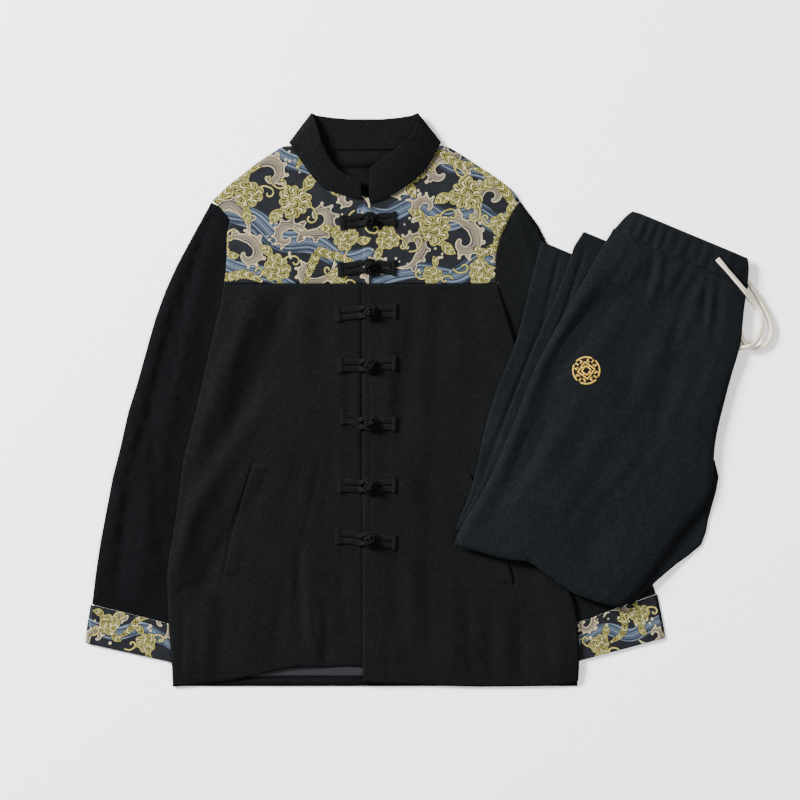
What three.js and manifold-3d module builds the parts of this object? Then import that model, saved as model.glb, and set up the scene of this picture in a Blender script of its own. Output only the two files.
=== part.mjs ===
// A short jacket with a stand collar and seven frog closures, and a pair of drawstring trousers folded
// on top of its left side, all laid out flat on a table. Lengths are millimetres and +Z is up.
// The origin is on the table under the middle of the cloth's outline. "Right" and "left" are the
// wearer's, so the right sleeve is on the viewer's left.
import * as THREE from 'three';
import { mergeVertices } from 'three/addons/utils/BufferGeometryUtils.js';
import Module from 'manifold-3d';

const wasm = await Module();
wasm.setup();

// Cloth thicknesses and the small gaps that the pieces keep
const SEAM = 0.4;
const SLEEVE_WALL = 1.1;
const CUFF_WALL = 1.3;
const BACK_WALL = 1.4;
const FRONT_WALL = 1.6;
const COLLAR_WALL = 2;
const TROUSER_WALL = 1.4;
const LINING_WALL = 1;
const LINING_GAP = 0.3;

// Jacket sizes, measured from the hem at the centre front
const YOKE_SEAM = 543;
const NECK_SEAM = 722;
const LAP = 20;
const OVERLAP_EDGE = -1.4;
const SLEEVE_LIFT = 3.6;
const HEM_LIFT = 1.5;
const FRONT_PUFF = 2.2;
const SLEEVE_PUFF = 3.2;

// Trousers sizes, measured from the middle of the waist
const TILT = THREE.MathUtils.degToRad(22.6);
const WAISTBAND_DEPTH = 30;
const LEG_FOLD = 500;
const STACK_HEIGHT = 9.5;
const GATHER_HEIGHT = 1.5;
const GATHER_HALF = 5;
const CORD_DIAMETER = 6;

// Where the jacket's and the trousers' own frames sit in the set
const JACKET_AT = new THREE.Vector2(-71.7, -386.3);
const TROUSERS_AT = new THREE.Vector2(365.7, 217.2);

// Side edges of the jacket's body, from hem to shoulder point: the side seams, then the armholes
const BODY_SIDE = [
  { up: 0, right: -258, left: 289 },
  { up: 30, right: -259, left: 291 },
  { up: 55, right: -261, left: 290 },
  { up: 85, right: -264, left: 288 },
  { up: 105, right: -264, left: 286 },
  { up: 125, right: -265, left: 279 },
  { up: 155, right: -266, left: 269 },
  { up: 200, right: -258, left: 259 },
  { up: 255, right: -250, left: 247 },
  { up: 305, right: -244, left: 240 },
  { up: 350, right: -232, left: 231 },
  { up: 400, right: -220, left: 220 },
  { up: 455, right: -208, left: 206 },
  { up: 490, right: -200, left: 195 },
  { up: 515, right: -193, left: 188 },
  { up: 537, right: -190, left: 181 },
  { up: 556, right: -187, left: 178 },
  { up: 580, right: -185, left: 178 },
  { up: 605, right: -185, left: 183 },
  { up: 616, right: -184, left: 189 },
  { up: 630, right: -181, left: 195 },
  { up: 645, right: -193, left: 204 },
  { up: 655, right: -205, left: 210 },
  { up: 667, right: -192, left: 203 },
  { up: 678, right: -181, left: 190 },
  { up: 688, right: -167, left: 176 },
  { up: 699, right: -154, left: 159 },
  { up: 710, right: -139, left: 142 },
  { up: 721, right: -122, left: 126 },
  { up: 729, right: -109, left: 112 },
];

// Inner edges of the yokes: the centre front edge, then the neckline, which runs on under the collar
const YOKE_INNER = [
  { up: 543, right: LAP, left: OVERLAP_EDGE },
  { up: 655, right: LAP, left: OVERLAP_EDGE },
  { up: 660, right: 3, left: 10 },
  { up: 666, right: -24, left: 36 },
  { up: 675, right: -53, left: 50 },
  { up: 689, right: -65, left: 67 },
  { up: 703, right: -76, left: 80 },
  { up: 717, right: -87, left: 91 },
  { up: 729, right: -98, left: 101 },
];

// Lower edge of the fronts: the right front's hem curls up and shows the lining behind it
const FRONT_HEM = [
  { across: -258, up: -1 },
  { across: -201, up: 4 },
  { across: -174, up: 8 },
  { across: -146, up: 15 },
  { across: -109, up: 23 },
  { across: -88, up: 26 },
  { across: -50, up: 25 },
  { across: -14, up: 28 },
  { across: -2, up: 26 },
  { across: 0, up: 5 },
  { across: 49, up: 3 },
  { across: 143, up: -1 },
  { across: 258, up: 0 },
  { across: 290, up: 7 },
];

// Sleeves from armhole to cuff: the outer fold, and the under-arm fold, which lies under the body
const RIGHT_SLEEVE = [
  { outerX: -206, outerY: 653, innerX: -197, innerY: 499 },
  { outerX: -222, outerY: 624, innerX: -192, innerY: 470 },
  { outerX: -236, outerY: 598, innerX: -190, innerY: 446 },
  { outerX: -252, outerY: 568, innerX: -195, innerY: 424 },
  { outerX: -267, outerY: 535, innerX: -200, innerY: 402 },
  { outerX: -281, outerY: 497, innerX: -206, innerY: 378 },
  { outerX: -293, outerY: 455, innerX: -212, innerY: 352 },
  { outerX: -306, outerY: 408, innerX: -220, innerY: 324 },
  { outerX: -318, outerY: 370, innerX: -226, innerY: 295 },
  { outerX: -329, outerY: 321, innerX: -231, innerY: 262 },
  { outerX: -339, outerY: 282, innerX: -234, innerY: 228 },
  { outerX: -348, outerY: 235, innerX: -239, innerY: 192 },
  { outerX: -356, outerY: 192, innerX: -245, innerY: 156 },
  { outerX: -362, outerY: 152, innerX: -246, innerY: 120 },
  { outerX: -367, outerY: 110.4, innerX: -246, innerY: 80.6 },
];
const LEFT_SLEEVE = [
  { outerX: 211, outerY: 654, innerX: 195.5, innerY: 489 },
  { outerX: 236, outerY: 620, innerX: 190, innerY: 462 },
  { outerX: 256, outerY: 580, innerX: 191, innerY: 436 },
  { outerX: 270, outerY: 540, innerX: 198, innerY: 408 },
  { outerX: 282, outerY: 498, innerX: 205, innerY: 374 },
  { outerX: 294, outerY: 450, innerX: 213, innerY: 338 },
  { outerX: 306, outerY: 404, innerX: 220, innerY: 300 },
  { outerX: 322, outerY: 358, innerX: 226, innerY: 262 },
  { outerX: 338, outerY: 311, innerX: 234, innerY: 225 },
  { outerX: 352, outerY: 260, innerX: 242, innerY: 188 },
  { outerX: 366, outerY: 212, innerX: 251, innerY: 150 },
  { outerX: 381, outerY: 166, innerX: 266, innerY: 112 },
  { outerX: 394, outerY: 124.4, innerX: 268, innerY: 78.4 },
];
const RIGHT_CUFF = [
  { outerX: -369, outerY: 110, innerX: -245, innerY: 79.8 },
  { outerX: -372, outerY: 92, innerX: -246, innerY: 62 },
  { outerX: -375, outerY: 73, innerX: -247, innerY: 45 },
  { outerX: -376, outerY: 58, innerX: -249, innerY: 30 },
];
const LEFT_CUFF = [
  { outerX: 396, outerY: 124, innerX: 267, innerY: 77.6 },
  { outerX: 400, outerY: 104, innerX: 268, innerY: 60 },
  { outerX: 404, outerY: 84, innerX: 270, innerY: 44 },
  { outerX: 407, outerY: 65, innerX: 272, innerY: 29 },
];

// Collar stations, from the right front end round the back of the neck to the left front end.
// seam is the edge sewn to the neck, top is the free edge, and the third value of each is its height.
const COLLAR = [
  { seam: [-3, 657, 5.0], top: [-5, 682, 8.5] },
  { seam: [-19, 660, 5.0], top: [-19, 688, 9.5] },
  { seam: [-38, 666, 5.0], top: [-32, 695, 10.5] },
  { seam: [-55, 671, 5.0], top: [-45, 709, 12] },
  { seam: [-67, 684, 5.0], top: [-51, 721, 13] },
  { seam: [-78, 699, 5.0], top: [-57, 734, 14] },
  { seam: [-89, 715, 5.6], top: [-62, 751, 14] },
  { seam: [-97, 728, 6.6], top: [-67, 766, 12] },
  { seam: [-101, 733, 4.8], top: [-70, 773, 8.5] },
  { seam: [-89, 731, 2.9], top: [-64, 770, 5] },
  { seam: [-66, 726, 2.9], top: [-43, 767, 4.4] },
  { seam: [-32, 724, 2.9], top: [-19, 765, 4.2] },
  { seam: [1, 724, 2.9], top: [3, 765, 4.2] },
  { seam: [35, 724, 2.9], top: [24, 765, 4.2] },
  { seam: [69, 726, 2.9], top: [47, 767, 4.4] },
  { seam: [91, 731, 2.9], top: [65, 770, 5] },
  { seam: [104, 733, 4.8], top: [72, 773, 8.5] },
  { seam: [99, 725, 6.6], top: [72, 763, 12] },
  { seam: [90, 708, 5.6], top: [66, 745, 14.5] },
  { seam: [80, 693, 5.0], top: [55, 734, 15] },
  { seam: [62, 678, 6.3], top: [42, 724, 15] },
  { seam: [39, 663, 6.8], top: [27, 713, 14.5] },
  { seam: [22, 656, 7.0], top: [16, 705, 13.5] },
  { seam: [7, 652, 7.0], top: [8, 699, 12.5] },
];

// Soft troughs pressed into the puffed cloth: where they run, how wide and how deep they are
const BODY_TROUGHS = [
  { x1: -115, y1: 541, x2: -108, y2: 480, width: 11, depth: 1.8 },
  { x1: -107, y1: 440, x2: -235, y2: 265, width: 17, depth: 2.1 },
  { x1: -172, y1: 288, x2: -238, y2: 140, width: 13, depth: 2.1 },
  { x1: -228, y1: 130, x2: -262, y2: 116, width: 8, depth: 1.5 },
  { x1: -86, y1: 157, x2: -86, y2: 62, width: 9, depth: 1.3 },
  { x1: -50, y1: 89, x2: -50, y2: 24, width: 8, depth: 1.2 },
  { x1: -228, y1: 103, x2: -228, y2: 8, width: 11, depth: 1.5 },
  { x1: 66, y1: 477, x2: 62, y2: 378, width: 13, depth: 1.4 },
  { x1: 170, y1: 70, x2: 170, y2: 0, width: 11, depth: 1.3 },
  { x1: 211, y1: 90, x2: 211, y2: 30, width: 9, depth: 1.2 },
];
const SLEEVE_TROUGHS = [
  { x1: -221, y1: 609, x2: -289, y2: 359, width: 13, depth: 2.2 },
  { x1: -269, y1: 319, x2: -262, y2: 130, width: 12, depth: 2.2 },
  { x1: -309, y1: 278, x2: -343, y2: 116, width: 11, depth: 1.8 },
];

// Frog closures: height of the knot up the front, and how each half reaches out and tilts from it
const KNOT_X = 8;
const FROGS = [
  { up: 629, loopReach: 36, loopRise: -4, knotReach: 33, knotRise: 1 },
  { up: 566, loopReach: 39, loopRise: -4, knotReach: 33, knotRise: -2 },
  { up: 505, loopReach: 43, loopRise: -3, knotReach: 34, knotRise: 1 },
  { up: 433, loopReach: 40, loopRise: 0, knotReach: 33, knotRise: 3 },
  { up: 355, loopReach: 36, loopRise: 9, knotReach: 33, knotRise: -1 },
  { up: 270, loopReach: 40, loopRise: 1, knotReach: 33, knotRise: 1 },
  { up: 198, loopReach: 43, loopRise: 4, knotReach: 33, knotRise: -4 },
];

// Pocket welts: inner seam of each welt, from its lower to its upper end
const WELT_WIDTH = 22;
const WELT_WALL = 1;
const WELT_GAP = 0.5;
const RIGHT_WELT = [
  { up: 150, x: -166 },
  { up: 207, x: -155 },
  { up: 260, x: -139 },
  { up: 300, x: -126 },
];
const LEFT_WELT = [
  { up: 138, x: 180 },
  { up: 173, x: 170 },
  { up: 252, x: 138 },
  { up: 288, x: 120 },
];

// Trousers: side edges of each layer, by the distance down from the waist
const LEG_PANEL = [
  { down: -6, left: -84, right: 84 },
  { down: 6, left: -90, right: 91 },
  { down: 31, left: -98, right: 98 },
  { down: 62, left: -104, right: 106 },
  { down: 105, left: -108, right: 120 },
  { down: 141, left: -114, right: 123 },
  { down: 179, left: -118, right: 128 },
  { down: 226, left: -123, right: 135 },
  { down: 254, left: -124, right: 142 },
  { down: 281, left: -123, right: 153 },
  { down: 306, left: -122, right: 160 },
  { down: 336, left: -122, right: 153 },
  { down: 369, left: -122, right: 142 },
  { down: 409, left: -123, right: 132 },
  { down: 436, left: -127, right: 126 },
  { down: 460, left: -131, right: 122 },
  { down: 482, left: -135, right: 116 },
  { down: 500, left: -133, right: 107 },
];
const LEG_FOLD_EDGE = [
  { across: -133, down: 502 },
  { across: -111, down: 499 },
  { across: -60, down: 494 },
  { across: -30, down: 483 },
  { across: -3, down: 491 },
  { across: 36, down: 501 },
  { across: 79, down: 499 },
  { across: 109, down: 494 },
];
const RIGHT_LOWER_LEG = [
  { down: 45, left: -134 },
  { down: 62, left: -139 },
  { down: 85, left: -137 },
  { down: 138, left: -135 },
  { down: 208, left: -137 },
  { down: 277, left: -136 },
  { down: 349, left: -133 },
  { down: 398, left: -131 },
  { down: 440, left: -133 },
  { down: 470, left: -136 },
];
const LEFT_LOWER_LEG = [
  { down: 79, left: -182 },
  { down: 146, left: -172 },
  { down: 201, left: -163 },
  { down: 244, left: -160 },
  { down: 279, left: -161 },
  { down: 322, left: -158 },
  { down: 365, left: -151 },
  { down: 403, left: -143 },
  { down: 437, left: -140 },
  { down: 482, left: -139.5 },
];
const LEFT_LEG = [
  { down: 262, right: 148 },
  { down: 278, right: 161 },
  { down: 300, right: 166 },
  { down: 326, right: 169 },
  { down: 351, right: 172 },
  { down: 365, right: 179 },
  { down: 388, right: 169 },
  { down: 404, right: 158 },
  { down: 434, right: 142 },
  { down: 462, right: 129 },
  { down: 486, right: 119 },
];

// Long soft creases of the leg panel, in the trousers' own frame, y pointing up to the waist
const LEG_TROUGHS = [
  { x1: -84, y1: -78, x2: -100, y2: -440, width: 11, depth: 2.4 },
  { x1: -46, y1: -34, x2: -62, y2: -120, width: 8, depth: 1.8 },
  { x1: -18, y1: -34, x2: -40, y2: -190, width: 10, depth: 2.0 },
  { x1: 10, y1: -34, x2: 2, y2: -230, width: 11, depth: 1.8 },
  { x1: 40, y1: -32, x2: 48, y2: -200, width: 10, depth: 1.9 },
  { x1: 62, y1: -30, x2: 74, y2: -150, width: 8, depth: 1.6 },
  { x1: 8, y1: -260, x2: 30, y2: -420, width: 14, depth: 1.4 },
  { x1: 70, y1: -300, x2: 40, y2: -430, width: 15, depth: 1.4 },
  { x1: -128, y1: -470, x2: -20, y2: -478, width: 8, depth: 1.2 },
];
const GATHERS = [-70, -56, -43, -29, -13, 4, 22, 38, 53, 68];

// Drawstring strands as they lie, by hand: across and down from the middle of the waist, and height
const UPPER_STRAND = [
  [46, -10.5, 17.6], [54, -14.5, 18.1], [64, -19.5, 17.9], [76, -25.5, 17.3], [87, -31, 16.4],
  [96, -35.5, 14.9], [104, -39, 11.7], [111, -42.5, 7.6], [118, -46.5, 4.6], [125, -51, 3.5],
  [131, -57.5, 3.4], [135.5, -66, 3.4], [138, -75, 3.4], [139, -84, 3.8], [138.5, -91, 5.4],
  [136.5, -97, 8.2], [132, -102.5, 10.2], [126, -106.5, 7.9], [119.5, -110.5, 4.7], [111, -115, 3.5],
  [101, -119, 3.4],
];
const LOWER_STRAND = [
  [74, -10, 3.4], [85, -16, 3.4], [96, -22, 3.4], [108, -29, 3.4], [120, -37.5, 3.4],
  [132, -46.5, 3.4], [142.5, -56, 3.4], [150, -66, 3.4], [153.5, -77, 3.4], [152.5, -88, 3.4],
  [146.5, -97, 3.4], [138, -102, 3.4], [129.5, -101.5, 3.4], [121, -97, 3.4], [114, -89.5, 3.4],
  [107, -81, 3.4], [99, -73, 3.4],
];

const CLOTH = { roughness: 0.95, metalness: 0 };
const MATERIALS = {
  jacket: { color: 0x1a1a1c, ...CLOTH },
  trousers: { color: 0x1c1d21, ...CLOTH },
  print: { color: 0x4d586b, roughness: 0.7, metalness: 0 },
  lining: { color: 0x8b8f96, roughness: 0.4, metalness: 0 },
  cord: { color: 0xd8cdbb, roughness: 0.9, metalness: 0 },
};

const { clamp, lerp, smoothstep } = THREE.MathUtils;

/** Reads one column of a table at a value of its key column, in a straight line between two rows. */
function readAt(table, key, value, column) {
  const first = table[0];
  const last = table[table.length - 1];
  if (value <= first[key]) return first[column];
  if (value >= last[key]) return last[column];
  const next = table.findIndex((row) => row[key] >= value);
  const share = (value - table[next - 1][key]) / (table[next][key] - table[next - 1][key]);
  return lerp(table[next - 1][column], table[next][column], share);
}

/** How deep a list of troughs presses the cloth down at one place. */
function troughDepth(troughs, x, y) {
  let depth = 0;
  for (const trough of troughs) {
    const alongX = trough.x2 - trough.x1;
    const alongY = trough.y2 - trough.y1;
    const length = Math.hypot(alongX, alongY);
    const along = ((x - trough.x1) * alongX + (y - trough.y1) * alongY) / length;
    const off = ((x - trough.x1) * alongY - (y - trough.y1) * alongX) / length;
    const past = Math.max(0, -along, along - length);
    depth += trough.depth * Math.exp(-((off / trough.width) ** 2) - (past / (2 * trough.width)) ** 2);
  }
  return depth;
}

/** Evenly spaced shares from 0 to 1. */
function shares(steps) {
  return Array.from({ length: steps + 1 }, (unused, index) => index / steps);
}

/** Turns a triangle list round where it faces inwards. */
function facingOut(points, triangles) {
  let volume = 0;
  for (const [a, b, c] of triangles) {
    volume += points[a].dot(points[b].clone().cross(points[c]));
  }
  return volume > 0 ? triangles : triangles.map(([a, b, c]) => [a, c, b]);
}

function solid(points, triangles) {
  const geometry = new THREE.BufferGeometry();
  geometry.setFromPoints(points);
  geometry.setIndex(facingOut(points, triangles).flat());
  geometry.computeVertexNormals();
  return geometry;
}

/** Joins two loops of equal count, each a closed run of point numbers, by a strip of triangles. */
function strip(loopA, loopB) {
  const triangles = [];
  for (let i = 0; i < loopA.length; i += 1) {
    const next = (i + 1) % loopA.length;
    triangles.push([loopA[i], loopA[next], loopB[next]], [loopA[i], loopB[next], loopB[i]]);
  }
  return triangles;
}

/**
 * A closed wall through sections. Each section is a loop whose first half runs across the upper face
 * and whose second half runs back across the lower face.
 */
function wallThrough(sections) {
  const count = sections[0].length;
  const half = count / 2;
  const numbers = sections.map((unused, row) => Array.from({ length: count }, (none, i) => row * count + i));
  const triangles = [];
  for (let row = 0; row + 1 < sections.length; row += 1) {
    triangles.push(...strip(numbers[row], numbers[row + 1]));
  }
  const first = numbers[0];
  const last = numbers[numbers.length - 1];
  for (let i = 0; i + 1 < half; i += 1) {
    const back = count - 1 - i;
    triangles.push([first[i], first[back], first[back - 1]], [first[i], first[back - 1], first[i + 1]]);
    triangles.push([last[i], last[back - 1], last[back]], [last[i], last[i + 1], last[back - 1]]);
  }
  return solid(sections.flat(), triangles);
}

/** A tube open at both ends, through outer loops and the inner loops that lie inside them. */
function tubeThrough(outer, inner) {
  const count = outer[0].length;
  const rows = outer.length;
  const number = (base, row) => Array.from({ length: count }, (unused, i) => base + row * count + i);
  const triangles = [];
  for (let row = 0; row + 1 < rows; row += 1) {
    triangles.push(...strip(number(0, row), number(0, row + 1)));
    triangles.push(...strip(number(rows * count, row + 1), number(rows * count, row)));
  }
  triangles.push(...strip(number(rows * count, 0), number(0, 0)));
  triangles.push(...strip(number(0, rows - 1), number(rows * count, rows - 1)));
  return solid([...outer.flat(), ...inner.flat()], triangles);
}

/** A cloth wall over a net of places in plan, between a lower and an upper height at each place. */
function panel(net, under, over) {
  return wallThrough(net.map((row) => [
    ...row.map(([x, y]) => new THREE.Vector3(x, y, over(x, y))),
    ...row.map(([x, y]) => new THREE.Vector3(x, y, under(x, y))).reverse(),
  ]));
}

/** A cloth wall of even thickness on both sides of a net of points. */
function band(net, thickness) {
  const rows = net.length;
  const columns = net[0].length;
  const half = thickness / 2;
  const at = (row, column) => net[clamp(row, 0, rows - 1)][clamp(column, 0, columns - 1)];
  const sections = net.map((points, row) => {
    const normals = points.map((unused, column) => {
      const along = at(row + 1, column).clone().sub(at(row - 1, column));
      const across = at(row, column + 1).clone().sub(at(row, column - 1));
      return along.cross(across).normalize();
    });
    const front = points.map((point, column) => point.clone().addScaledVector(normals[column], half));
    const back = points.map((point, column) => point.clone().addScaledVector(normals[column], -half));
    return [...front, ...back.reverse()];
  });
  return wallThrough(sections);
}

// Heights of the jacket's layers, in the jacket's own frame

/** How far in from the side edge of the body a place is. */
function insideBody(x, y) {
  return x < 0 ? x - readAt(BODY_SIDE, 'up', y, 'right') : readAt(BODY_SIDE, 'up', y, 'left') - x;
}

/** Where the body rides over the sleeves and cuffs beneath its sides; upper layers start sooner. */
function sideLift(x, y, sooner) {
  const nearSide = 1 - smoothstep(insideBody(x, y), 23 + sooner, 42 + 1.5 * sooner);
  const belowArm = 1 - smoothstep(y, 497 + sooner / 2, 532 + sooner);
  const aboveCuffEnd = smoothstep(y, 4 - 1.5 * sooner, 28 - 1.5 * sooner);
  return SLEEVE_LIFT * nearSide * belowArm * aboveCuffEnd;
}

const FRONT_SOONER = 6;
const backUnder = (x, y) => sideLift(x, y, 0);
const backOver = (x, y) => backUnder(x, y) + BACK_WALL;
const frontBase = (x, y) => sideLift(x, y, FRONT_SOONER) + BACK_WALL + SEAM;

/** The soft fullness of the fronts, flat at the edges and where the trousers lie on them. */
function frontPuff(x, y) {
  const sideFade = smoothstep(insideBody(x, y), 2, 34);
  const centreFade = smoothstep(Math.abs(x), 48, 78);
  const hemFade = smoothstep(y, -4, 40);
  const yokeFade = y < YOKE_SEAM ? 1 - 0.6 * smoothstep(y, 500, YOKE_SEAM) : 0.4;
  const neckFade = 1 - smoothstep(y, 600, 650);
  const trousersFade = 1 - smoothstep(x, 50, 110) * smoothstep(y, 50, 100);
  const full = FRONT_PUFF * sideFade * centreFade * hemFade * yokeFade * neckFade * trousersFade;
  const pressed = troughDepth(BODY_TROUGHS, x, y) * sideFade * centreFade * trousersFade;
  return Math.max(0, full - pressed);
}

/** How much the curled hem of the right front stands off the back. */
function hemCurl(x, y) {
  const across = smoothstep(x, -190, -150) * (1 - smoothstep(x, 20, 50));
  return HEM_LIFT * across * (1 - smoothstep(y, 48, 80));
}

const rightUnder = (x, y) => frontBase(x, y) + frontPuff(x, y) + hemCurl(x, y);
const rightOver = (x, y) => rightUnder(x, y) + FRONT_WALL;

/** The left front laps over the right one near the centre. */
function lapLift(x) {
  return (FRONT_WALL + SEAM) * (1 - smoothstep(x, 46, 80));
}

const leftUnder = (x, y) => rightUnder(x, y) + lapLift(x);
const leftOver = (x, y) => leftUnder(x, y) + FRONT_WALL;

// Jacket pieces

/** A net of rows across one front, from its side edge to its inner edge. */
function frontNet(rows, steps, sideAt, innerAt, shift) {
  return rows.map((up) => shares(steps).map((share) => {
    const x = lerp(sideAt(up), innerAt(up), share);
    return [x, up + shift(x, up)];
  }));
}

/** Moves the lowest rows of a front onto its hem. */
function hemShift(x, up) {
  return readAt(FRONT_HEM, 'across', x, 'up') * (1 - smoothstep(up, 0, 90));
}

function jacketFront(side) {
  const isRight = side === 'right';
  const rows = shares(24).map((share) => share * (YOKE_SEAM - SEAM));
  const net = frontNet(
    rows,
    isRight ? 13 : 11,
    (up) => readAt(BODY_SIDE, 'up', up, side),
    () => (isRight ? LAP : OVERLAP_EDGE),
    (x, up) => (isRight ? hemShift(Math.min(x, -2), up) : hemShift(Math.max(x, 0), up)),
  );
  return isRight ? panel(net, rightUnder, rightOver) : panel(net, leftUnder, leftOver);
}

function jacketYoke(side) {
  const rows = [YOKE_SEAM, 556, 580, 605, 616, 630, 645, 655, 660, 666, 675, 689, 703, 717, 729];
  const net = frontNet(
    rows,
    8,
    (up) => readAt(BODY_SIDE, 'up', up, side),
    (up) => readAt(YOKE_INNER, 'up', up, side),
    () => 0,
  );
  return side === 'right' ? panel(net, rightUnder, rightOver) : panel(net, leftUnder, leftOver);
}

function jacketBack() {
  const edgeInset = 1;
  const rows = [
    0, 14, 28, 85, 125, 155, 200, 255, 305, 350, 400, 455,
    497, 515, 532, 580, 616, 630, 655, 678, 699, NECK_SEAM,
  ];
  const insets = [0, 23, 42];
  const middle = [-60, 60];
  const net = rows.map((up) => {
    const right = readAt(BODY_SIDE, 'up', up, 'right') + edgeInset;
    const left = readAt(BODY_SIDE, 'up', up, 'left') - edgeInset;
    return [
      ...insets.map((inset) => [right + inset, up]),
      ...middle.map((x) => [x, up]),
      ...insets.map((inset) => [left - inset, up]).reverse(),
    ];
  });
  return panel(net, backUnder, backOver);
}

/** The strip of satin lining that shows where the right front's hem curls up. */
function backLining() {
  const rows = [13, 24, 36];
  const net = rows.map((up) => shares(8).map((share) => [lerp(-160, 2, share), up]));
  const under = (x, y) => backOver(x, y) + LINING_GAP;
  return panel(net, under, (x, y) => under(x, y) + LINING_WALL);
}

/** The flattened section of a sleeve or cuff, from its inner fold over its lower face and back. */
function flatLoop(places, lift, low, high, inset) {
  const last = places.length - 1;
  const pulled = places.map(([x, y], index) => {
    const toward = index === 0 ? places[1] : places[last - 1];
    const isEdge = index === 0 || index === last;
    const reach = Math.hypot(toward[0] - x, toward[1] - y);
    const share = isEdge ? inset / reach : 0;
    return [lerp(x, toward[0], share), lerp(y, toward[1], share)];
  });
  const middle = (low + high) / 2;
  const lower = pulled.slice(1, last).map(([x, y]) => new THREE.Vector3(x, y, low));
  const upper = pulled.slice(1, last).map(([x, y]) => new THREE.Vector3(x, y, high + lift(x, y)));
  const [innerX, innerY] = pulled[0];
  const [outerX, outerY] = pulled[last];
  return [
    new THREE.Vector3(innerX, innerY, middle),
    ...lower,
    new THREE.Vector3(outerX, outerY, middle + lift(outerX, outerY) / 2),
    ...upper.reverse(),
  ];
}

/** A flattened open tube through a table of folds; headCurve bends its first section. */
function flatTube(table, wall, steps, lift, headCurve) {
  const edgeColumn = 0.03;
  const columns = [0, edgeColumn, ...shares(steps).slice(1, -1), 1 - edgeColumn, 1];
  const rings = table.map((row, ring) => columns.map((share) => {
    const x = lerp(row.innerX, row.outerX, share);
    const y = lerp(row.innerY, row.outerY, share);
    return [x + headCurve(share, ring), y];
  }));
  const outer = rings.map((places) => flatLoop(places, lift, 0, 2 * wall + SEAM, 0));
  const inner = rings.map((places) => flatLoop(places, lift, wall, wall + SEAM, wall));
  return tubeThrough(outer, inner);
}

/** The fullness of a sleeve outside the body, pressed flat where the trousers lie on it. */
function sleevePuff(x, y) {
  const isRight = x < 0;
  const outside = -insideBody(x, y);
  const clear = smoothstep(outside, 6, 34);
  const cuffFade = smoothstep(y, 96, 150);
  const full = SLEEVE_PUFF * clear * cuffFade * (isRight ? 1 : smoothstep(y, 612, 640));
  return Math.max(0, full - troughDepth(SLEEVE_TROUGHS, x, y) * clear);
}

function jacketSleeve(side) {
  const table = side === 'right' ? RIGHT_SLEEVE : LEFT_SLEEVE;
  const outward = side === 'right' ? -1 : 1;
  const head = table[0];
  const bend = (share) => {
    const y = lerp(head.innerY, head.outerY, share);
    const seam = readAt(BODY_SIDE, 'up', y, side) + outward * 2 * SEAM;
    return seam - lerp(head.innerX, head.outerX, share);
  };
  const fade = [1, 0.6, 0.25, 0.05];
  const headCurve = (share, ring) => (share === 0 || share === 1 ? 0 : (fade[ring] ?? 0) * bend(share));
  return flatTube(table, SLEEVE_WALL, side === 'right' ? 8 : 4, sleevePuff, headCurve);
}

function jacketCuff(side) {
  return flatTube(side === 'right' ? RIGHT_CUFF : LEFT_CUFF, CUFF_WALL, 6, () => 0, () => 0);
}

function jacketCollar() {
  const bulge = 1.2;
  const flatBelow = 6;
  const net = COLLAR.map(({ seam, top }) => shares(3).map((share) => {
    const point = new THREE.Vector3(...seam).lerp(new THREE.Vector3(...top), share);
    point.z += top[2] > flatBelow ? bulge * Math.sin(Math.PI * share) : 0;
    return point;
  }));
  return band(net, COLLAR_WALL);
}

function pocketWelt(table, inward) {
  const over = inward > 0 ? rightOver : leftOver;
  const net = shares(10).map((share) => {
    const up = lerp(table[0].up, table[table.length - 1].up, share);
    const x = readAt(table, 'up', up, 'x');
    return shares(2).map((across) => [x - inward * across * WELT_WIDTH, up]);
  });
  const under = (x, y) => over(x, y) + WELT_GAP;
  return panel(net, under, (x, y) => under(x, y) + WELT_WALL);
}

// Frog closures, each half made round its knot and then set on the fronts

const TAB_HALF = 9;
const BAR_HALF = 10.5;
const BAR_WIDTH = 5;
const RING_OUTER = 9.5;
const RING_INNER = 6.4;
const TAB_ROOT = 11;
const TAB_FLARE = 5;
const CORD_THICK = 2.4;
const TAB_THICK = 1.8;
const TAB_LIFT = 0.3;
const RING_LIFT = 0.5;
const RING_TILT = 0.14;
const LOOP_STEP = FRONT_WALL + SEAM + 0.2;

/** Moves a shape's points so that it tilts with its tab and follows the step at the centre front. */
function seat(geometry, rise, reach, heightAt) {
  const places = geometry.attributes.position;
  for (let i = 0; i < places.count; i += 1) {
    const x = places.getX(i);
    places.setY(i, places.getY(i) + (rise * Math.max(0, Math.abs(x) - RING_INNER)) / (reach - RING_INNER));
    places.setZ(i, places.getZ(i) + heightAt(x));
  }
  return geometry;
}

/** Outline of a tab of two cloth cords side by side, with a wrapped bar at its outer end. */
function tabOutline(reach, root, rootHalf) {
  const shape = new THREE.Shape();
  shape.moveTo(root, -rootHalf);
  shape.lineTo(root + TAB_FLARE, -TAB_HALF);
  shape.lineTo(reach - BAR_WIDTH - 1, -TAB_HALF);
  shape.lineTo(reach - BAR_WIDTH, -BAR_HALF);
  shape.lineTo(reach, -BAR_HALF);
  shape.lineTo(reach, BAR_HALF);
  shape.lineTo(reach - BAR_WIDTH, BAR_HALF);
  shape.lineTo(reach - BAR_WIDTH - 1, TAB_HALF);
  shape.lineTo(root + TAB_FLARE, TAB_HALF);
  shape.lineTo(root, rootHalf);
  return shape;
}

/** The parting between the two cords of a tab. */
function tabSlot(from, to) {
  const half = 0.6;
  const slot = new THREE.Path();
  slot.moveTo(from, -half);
  slot.lineTo(from, half);
  slot.lineTo(to, half);
  slot.lineTo(to, -half);
  return slot;
}

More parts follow.
